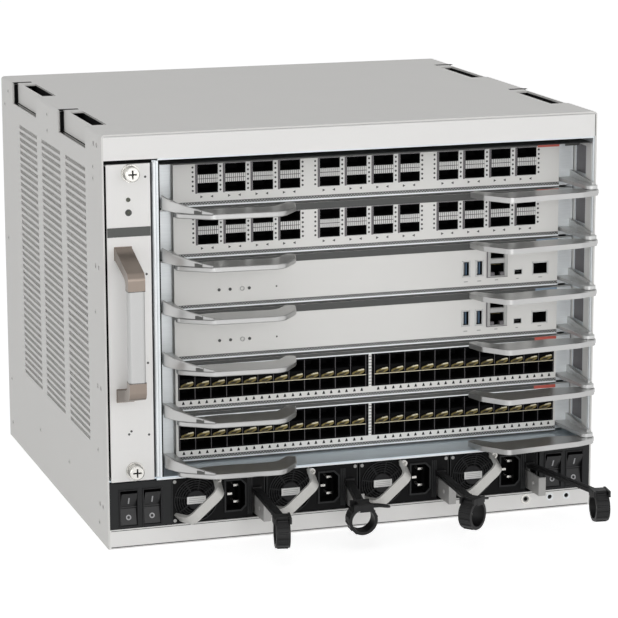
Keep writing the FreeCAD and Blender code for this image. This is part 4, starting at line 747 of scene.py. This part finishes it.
def supervisor_card(slot, tag):
    """Two slim sockets, a block of two jacks, a service socket and an uplink, with a row of lamps."""
    name, base, floor, y = card_common(slot, tag)
    liners, insert, shells, blocks, dots, pins = builds(6)
    for index in (0, 1):
        x = base + 262.1 + 12.5 * index
        liners.tray((x + 0.85, x + 5.75), (y - 0.05, y + 22), (floor + 15.2, floor + 27.2))
        insert.box((x + 2.9, x + 4.1), (y + 0.6, y + 14), (floor + 15.8, floor + 26.6))
        shells.box((x + 1.2, x + 1.6), (y + 0.4, y + 1.0), (floor + 15.6, floor + 26.8))
        for x0, x1, z0, z1 in ((-0.6, 0.3, 13.9, 28.5), (6.3, 7.1, 13.9, 28.5), (-0.6, 7.1, 27.8, 28.5),
                               (-0.6, 7.1, 13.9, 14.6)):
            shells.box((x + x0, x + x1), (y - 0.9, y + 0.2), (floor + z0, floor + z1))
    x = base + 284.7
    for x0, x1, z0, z1 in ((0.3, 3.3, 12.4, 36.9), (16.5, 19.5, 12.4, 36.9), (3.3, 16.5, 24.8, 28.9),
                           (3.3, 16.5, 35.2, 36.9), (3.3, 16.5, 12.4, 13.4)):
        blocks.box((x + x0, x + x1), (y - 1.4, y + 0.2), (floor + z0, floor + z1))
    corner = Build()
    for x0, x1, y0, y1, z0, z1 in ((3.3, 7.2, -0.9, 3, 13.3, 16.6), (12.6, 16.5, -0.9, 3, 13.3, 16.6),
                                   (0.0, 0.6, -1.5, 0.2, 12.4, 36.9), (0.3, 19.5, -1.5, 0.2, 12.2, 12.7)):
        corner.box((x + x0, x + x1), (y + y0, y + y1), (floor + z0, floor + z1))
    corner.piece(name + "_jack_shade", "shade", name, "zinc_sheet")
    dashes = Build()
    for left, wide in ((263.4, 3.6), (276.0, 3.6), (292.6, 3.0), (312.8, 2.4), (334.0, 3.4)):
        dashes.box((base + left, base + left + wide), (y - 0.1, y + 0.1), (floor + 9.3, floor + 10.0))
    dashes.piece(name + "_socket_dashes", "dash", name, "light_paint")
    for z0, z1 in ((13.5, 24.6), (29.1, 35.1)):
        liners.tray((x + 3.6, x + 16.2), (y - 0.05, y + 22), (floor + z0 + 0.15, floor + z1 - 0.15))
        for k in range(8):
            pins.box((x + 5.6 + k * 1.15, x + 6.0 + k * 1.15), (y + 2, y + 11),
                     (floor + z1 - 1.6, floor + z1 - 1.2))
    x = base + 310.6
    liners.tray((x + 0.85, x + 7.35), (y - 0.05, y + 18), (floor + 13.65, floor + 17.45))
    Build().box((x + 2, x + 6.2), (y + 1, y + 10), (floor + 15.2, floor + 16.0)).piece(
        name + "_service_tongue", "black", name, "zinc_sheet")
    x = base + 328.3
    liners.tray((x + 0.85, x + 13.55), (y - 0.05, y + 22), (floor + 13.05, floor + 22.4))
    for x0, x1, z0 in ((-0.5, 14.9, 23.0), (-0.5, 0.4, 11.8), (14.0, 14.9, 11.8)):
        shells.box((x + x0, x + x1), (y - 0.7, y + 0.2), (floor + z0, floor + 23.9))
    for position in (-111.4, -101.6, -84.5):
        dots.disc((position, y - 0.4, floor + 17.2), 1.35, 0.5, "y", 16)
    dots.disc((-60, y - 0.12, floor + 17.2), 0.8, 0.2, "y", 12)
    Build().disc((-90.8, y - 0.6, floor + 17.2), 2.1, 0.7, "y", 20, inner=1.3).piece(
        name + "_button_ring", "jack", name, "light_paint", smooth=True)
    liners.piece(name + "_port_liners", "dark", name, "zinc_sheet")
    insert.piece(name + "_tongues", "usb", name, "zinc_sheet")
    shells.piece(name + "_socket_rims", "cage", name, "zinc_sheet", bevel=0.15)
    blocks.piece(name + "_jack_block", "jack", name, "zinc_sheet", bevel=0.2)
    pins.piece(name + "_jack_contacts", "gold", name, "zinc_sheet")
    dots.piece(name + "_lamps", "strip", name, "light_paint", smooth=True)


for slot, maker, tag in ((1, qsfp_card, "red"), (2, qsfp_card, "red"), (3, supervisor_card, "blue_grey"),
                         (4, supervisor_card, "blue_grey"), (5, dense_card, "red"), (6, dense_card, "red")):
    maker(slot, tag)
    lever_look(slot)


# --- power supplies

def supply(number):
    """Fan guard, bare label, inlet and small fittings on the face of one supply."""
    name = "supply_%d" % number
    low, high = corners(name + "_housing")
    x0 = low.x
    face = FRONT + 1.0
    floor = low.z
    centre_z = (low.z + high.z) / 2
    guard = Build()
    for radius in (10.5, 12.6, 14.7, 16.8, 18.9):
        guard.disc((x0 + 21.3, face - 1.0, centre_z), radius + 0.35, 0.7, "y", 40, inner=radius - 0.35)
    for index in range(8):
        turn = Matrix.Rotation(2 * math.pi * index / 8 + 0.2, 3, "Y")
        guard.box((x0 + 29.5, x0 + 40.2), (face - 0.9, face - 0.3), (centre_z - 0.35, centre_z + 0.35), turn,
                  (x0 + 21.3, 0, centre_z))
    guard.piece(name + "_fan_guard", "guard", name, "supply_black", smooth=True)
    Build().disc((x0 + 21.3, face - 1.6, centre_z), 8.0, 1.0, "y", 36, top=8.8).piece(
        name + "_hub_cap", "black", name, "supply_black", smooth=True)
    Build().box((x0 + 13.0, x0 + 29.6), (face - 1.95, face - 1.5), (centre_z - 3.2, centre_z + 3.2)).piece(
        name + "_bare_label", "label", name, "handle_grey")
    lines = Build()
    for k in range(3):
        z = centre_z - 1.7 + k * 1.6
        lines.box((x0 + 14.6, x0 + 28.0), (face - 2.0, face - 1.9), (z - 0.3, z + 0.3))
    lines.piece(name + "_label_rules", "grip", name, "handle_grey")
    middle = x0 + 47.5 + 8.75
    Build().tray((x0 + 48.0, x0 + 60.3), (face - 0.02, face + 14.6), (floor + 8.0, floor + 33.5)).piece(
        name + "_inlet_lining", "dark", name, "supply_black")
    rim = Build()
    rim_outer = [(46.4, 6.4), (61.5, 6.4), (66.1, 11.0), (66.1, 30.5), (61.5, 35.1), (46.4, 35.1)]
    rim_inner = [(47.8, 7.8), (60.8, 7.8), (64.7, 11.7), (64.7, 29.8), (60.8, 33.7), (47.8, 33.7)]
    count = len(rim_outer)
    for i in range(count):
        j = (i + 1) % count
        quad = [rim_outer[i], rim_outer[j], rim_inner[j], rim_inner[i]]
        rim.prism(quad, (0, 1.1), lambda p: Vector((x0 + p.x, face - p.z, floor + p.y)))
    rim.piece(name + "_inlet_rim", "guard", name, "supply_black")
    pins = Build()
    for px, pz in ((middle + 2.0, floor + 13.5), (middle - 3.5, floor + 20.7), (middle + 2.0, floor + 28.0)):
        pins.box((px - 2.2, px + 2.2), (face + 5.0, face + 14.4), (pz - 1.0, pz + 1.0))
    pins.piece(name + "_inlet_blades", "nickel", name, "nickel", bevel=0.2)
    slots = Build()
    for k in range(3):
        slots.box((x0 + 67.2 + k * 1.7, x0 + 68.1 + k * 1.7), (face - 0.35, face + 0.1),
                  (floor + 3, floor + 36))
    slots.piece(name + "_panel_ribs", "guard", name, "supply_black")
    Build().disc((x0 + 40.0, face - 5.4, floor + 37.2), 2.6, 0.9, "y", 24, inner=1.4).piece(
        name + "_bow_rivet", "nickel", name, "handle_grey", smooth=True)
    screw = Build()
    for x, z in ((x0 + 2.6, high.z - 2.8), (x0 + 80.4, high.z - 2.8), (x0 + 2.6, low.z + 2.8)):
        screw.disc((x, face - 0.5, z), 1.5, 0.6, "y", 14)
    screw.piece(name + "_face_screws", "screw", name, "supply_black", smooth=True)
    edge = Build()
    for span in ((x0 + 0.1, x0 + 0.9), (high.x - 0.9, high.x - 0.1)):
        edge.box(span, (face - 0.4, face + 2), (low.z + 0.3, high.z - 0.3))
    edge.piece(name + "_side_edges", "guard", name, "supply_black")


for number in SUPPLIES:
    supply(number)


# --- rockers

def rocker(number):
    """Plain on and off marks on one rocker, and the rim round it."""
    name = "rocker_%d" % number
    pivot = pivot_of(name)
    turn = Matrix.Rotation(math.radians(7), 3, "X")
    slope = math.atan2(5.0, 14.26)
    marks = Build()

    def on_face(points, up):
        """Mesh corners on the upper or lower flat, from pairs of (across, along)."""
        out = []
        for u, w in points:
            along = w * math.cos(slope)
            depth = -0.5 - along * math.tan(slope)
            z = along if up else -along
            out.append(marks.mesh.verts.new((turn @ Vector((u, depth - 0.12, z)) + pivot) * MM))
        return out

    def circle(radius, sides=20):
        """A circle's points round the middle of the off mark."""
        angles = [2 * math.pi * i / sides for i in range(sides)]
        return [(radius * math.cos(t), 8.6 + radius * math.sin(t)) for t in angles]

    marks.mesh.faces.new(on_face([(-0.55, 4.0), (0.55, 4.0), (0.55, 10.5), (-0.55, 10.5)], True))
    outer = on_face(circle(2.3), False)
    inner = on_face(circle(1.3), False)
    for i in range(len(outer)):
        k = (i + 1) % len(outer)
        marks.mesh.faces.new([outer[i], outer[k], inner[k], inner[i]])
    piece = marks.piece(name + "_marks", "mark", name, "rocker_black")
    thick = piece.modifiers.new("thick", "SOLIDIFY")
    thick.thickness = 0.0001
    thick.offset = 0
    rim = Build()
    half_x = 7.3
    half_z = 15.2
    out_x = half_x + 1.3
    out_z = half_z + 1.3
    for x0, x1, z0, z1 in ((-out_x, -half_x, -out_z, out_z), (half_x, out_x, -out_z, out_z),
                           (-half_x, half_x, -out_z, -half_z), (-half_x, half_x, half_z, out_z)):
        rim.box((pivot.x + x0, pivot.x + x1), (FRONT - 1.0, FRONT + 0.2), (pivot.z + z0, pivot.z + z1))
    rim.piece(name + "_rim", "black", "chassis", "dark_plastic", bevel=0.3)


for number in range(1, 5):
    rocker(number)


# --- cord straps

def straps(number):
    """Teeth along the strap, and lugs and a pointed tail on its clamp ring."""
    name = "supply_%d" % number
    housing = corners(name + "_housing")[0]
    root = Vector((housing.x + 75.0, FRONT + 1.0, housing.z + 24.2))
    length, swing, droop, twist = STRAP_POSES[number]
    turn = Matrix.Rotation(math.radians(swing), 3, "Z") @ Matrix.Rotation(math.radians(droop), 3, "X")
    teeth = Build()
    step = 4.0
    while step < length - 6:
        teeth.box((root.x - 2.6, root.x + 2.6), (root.y - step - 0.5, root.y - step + 0.5),
                  (root.z + 1.1, root.z + 1.75), turn, root)
        step += 2.2
    teeth.piece(name + "_strap_teeth", "soft_black", name, "strap_black")
    centre = Vector((0, -length - 6.0, 1.2 - 12.6))
    about = Matrix.Rotation(math.radians(twist), 3, "Z")

    def put(local):
        """From the ring's own frame, its axis along y, to the chassis."""
        return turn @ (about @ Vector(local) + centre) + root

    lugs = Build()
    for index in range(14):
        angle = 2 * math.pi * index / 14 + 0.2
        section = []
        for y in (-4.6, 4.6):
            for radius, spread in ((12.4, -0.09), (13.35, -0.05), (13.35, 0.05), (12.4, 0.09)):
                section.append(put((radius * math.cos(angle + spread), y, radius * math.sin(angle + spread))))
        lugs.loft([section[:4], section[4:]])
    for y in (-7.4, 5.4):
        lugs.loft([[put((x, y, z)) for x, z in ((-8.5, 9.6), (8.5, 9.6), (8.5, 15.0), (-8.5, 15.0))],
                   [put((x, y + 2.0, z)) for x, z in ((-8.5, 9.6), (8.5, 9.6), (8.5, 15.0), (-8.5, 15.0))]])
    lugs.piece(name + "_clamp_lugs", "soft_black", name, "strap_black", bevel=0.3)
    tail = Build()
    around = ((-1, -0.9), (1, -0.9), (1, 0.9), (-1, 0.9))
    path = ((8.0, 3.0, 11.6), (16.0, 3.0, 10.6), (22.0, 2.7, 9.4), (25.5, 0.5, 8.6))
    tail.loft([[put((x, side * wide, half + lift)) for side, half in around] for x, wide, lift in path])
    tail.piece(name + "_clamp_tail", "soft_black", name, "strap_black", bevel=0.3)


# each strap's length, and its turns in degrees: to the side, downwards, and of its ring
STRAP_POSES = {1: (84.0, -3.0, 1.0, 82.0), 2: (58.0, -9.0, 4.0, 8.0), 3: (98.0, -5.5, -2.0, 42.0),
               4: (106.0, 10.0, -1.0, 72.0)}
for number in SUPPLIES:
    straps(number)


# --- stage, light, camera

def seen_rays(tree):
    """1 for the rays that should meet the pale background: camera, glossy and transmission."""
    path = add(tree, "LightPath")
    value = path.outputs["Is Camera Ray"]
    for kind in ("Is Glossy Ray", "Is Transmission Ray"):
        larger = add(tree, "Math")
        larger.operation = "MAXIMUM"
        tree.links.new(value, larger.inputs[0])
        tree.links.new(path.outputs[kind], larger.inputs[1])
        value = larger.outputs[0]
    return value


def backdrop():
    """A plain pale floor that keeps the object's shadow."""
    data = bpy.data.meshes.new("floor")
    size = 12.0
    data.from_pydata([(-size, -size, 0), (size, -size, 0), (size, size, 0), (-size, size, 0)], [],
                     [(0, 1, 2, 3)])
    floor = bpy.data.objects.new("floor", data)
    bpy.context.scene.collection.objects.link(floor)
    mat = bpy.data.materials.new("floor")
    mat.use_nodes = True
    tree = mat.node_tree
    tree.nodes.clear()
    out = add(tree, "OutputMaterial")
    diffuse = add(tree, "BsdfDiffuse")
    diffuse.inputs["Color"].default_value = (0.86, 0.86, 0.86, 1)
    glow = add(tree, "Emission")
    glow.inputs["Color"].default_value = (1, 1, 1, 1)
    glow.inputs["Strength"].default_value = 0.62
    switch = add(tree, "MixShader")
    both = add(tree, "AddShader")
    link = tree.links.new
    link(diffuse.outputs[0], both.inputs[0])
    link(glow.outputs[0], both.inputs[1])
    link(seen_rays(tree), switch.inputs["Fac"])
    link(diffuse.outputs[0], switch.inputs[1])
    link(both.outputs[0], switch.inputs[2])
    link(switch.outputs[0], out.inputs["Surface"])
    data.materials.append(mat)


backdrop()

world = bpy.data.worlds.new("studio")
bpy.context.scene.world = world
world.use_nodes = True
tree = world.node_tree
tree.nodes.clear()
link = tree.links.new
out = add(tree, "OutputWorld")
soft = add(tree, "Background")
white = add(tree, "Background")
white.inputs["Color"].default_value = (1, 1, 1, 1)
white.inputs["Strength"].default_value = 1.0
coords = add(tree, "TexCoord")
split = add(tree, "SeparateXYZ")
ramp = add(tree, "ValToRGB")
ramp.color_ramp.elements[0].position = 0.45
ramp.color_ramp.elements[0].color = (0.72, 0.72, 0.72, 1)
ramp.color_ramp.elements[1].position = 1.0
ramp.color_ramp.elements[1].color = (0.36, 0.36, 0.365, 1)
remap = add(tree, "Math")
remap.operation = "MULTIPLY_ADD"
remap.inputs[1].default_value = 0.5
remap.inputs[2].default_value = 0.5
link(coords.outputs["Generated"], split.inputs[0])
link(split.outputs["Z"], remap.inputs[0])
link(remap.outputs[0], ramp.inputs["Fac"])
link(ramp.outputs["Color"], soft.inputs["Color"])
mix = add(tree, "MixShader")
link(seen_rays(tree), mix.inputs["Fac"])
link(soft.outputs[0], mix.inputs[1])
link(white.outputs[0], mix.inputs[2])
link(mix.outputs[0], out.inputs["Surface"])


def area(name, place, target, size, power):
    """A square lamp at a place, turned to its target."""
    light = bpy.data.lights.new(name, "AREA")
    light.size = size
    light.energy = power
    obj = bpy.data.objects.new(name, light)
    obj.location = place
    obj.rotation_euler = (Vector(target) - Vector(place)).to_track_quat("-Z", "Y").to_euler()
    bpy.context.scene.collection.objects.link(obj)


area("key", (-0.35, -2.9, 0.5), (0, 0, 0.17), 1.3, 21)
area("fill", (1.5, -2.2, 0.9), (0, 0, 0.15), 1.4, 6.5)
area("side", (-2.6, -0.9, 0.7), (-0.2, 0, 0.17), 1.3, 6)
area("top", (-0.5, -1.2, 2.2), (0, 0, 0.2), 1.2, 2)

camera_data = bpy.data.cameras.new("camera")
camera_data.sensor_width = 36.0
camera_data.lens = 159.36
camera = bpy.data.objects.new("camera", camera_data)
bpy.context.scene.collection.objects.link(camera)
bpy.context.scene.camera = camera
azimuth = math.radians(17.73)
elevation = math.radians(12.03)
forward = Vector((math.sin(azimuth) * math.cos(elevation), math.cos(azimuth) * math.cos(elevation),
                  -math.sin(elevation)))
camera.location = (-0.736, -2.374, 0.682)
level = forward.to_track_quat("-Z", "Y").to_matrix()
camera.rotation_euler = (level @ Matrix.Rotation(math.radians(-0.15), 3, "Z")).to_euler()

bpy.context.scene.view_settings.view_transform = "Standard"
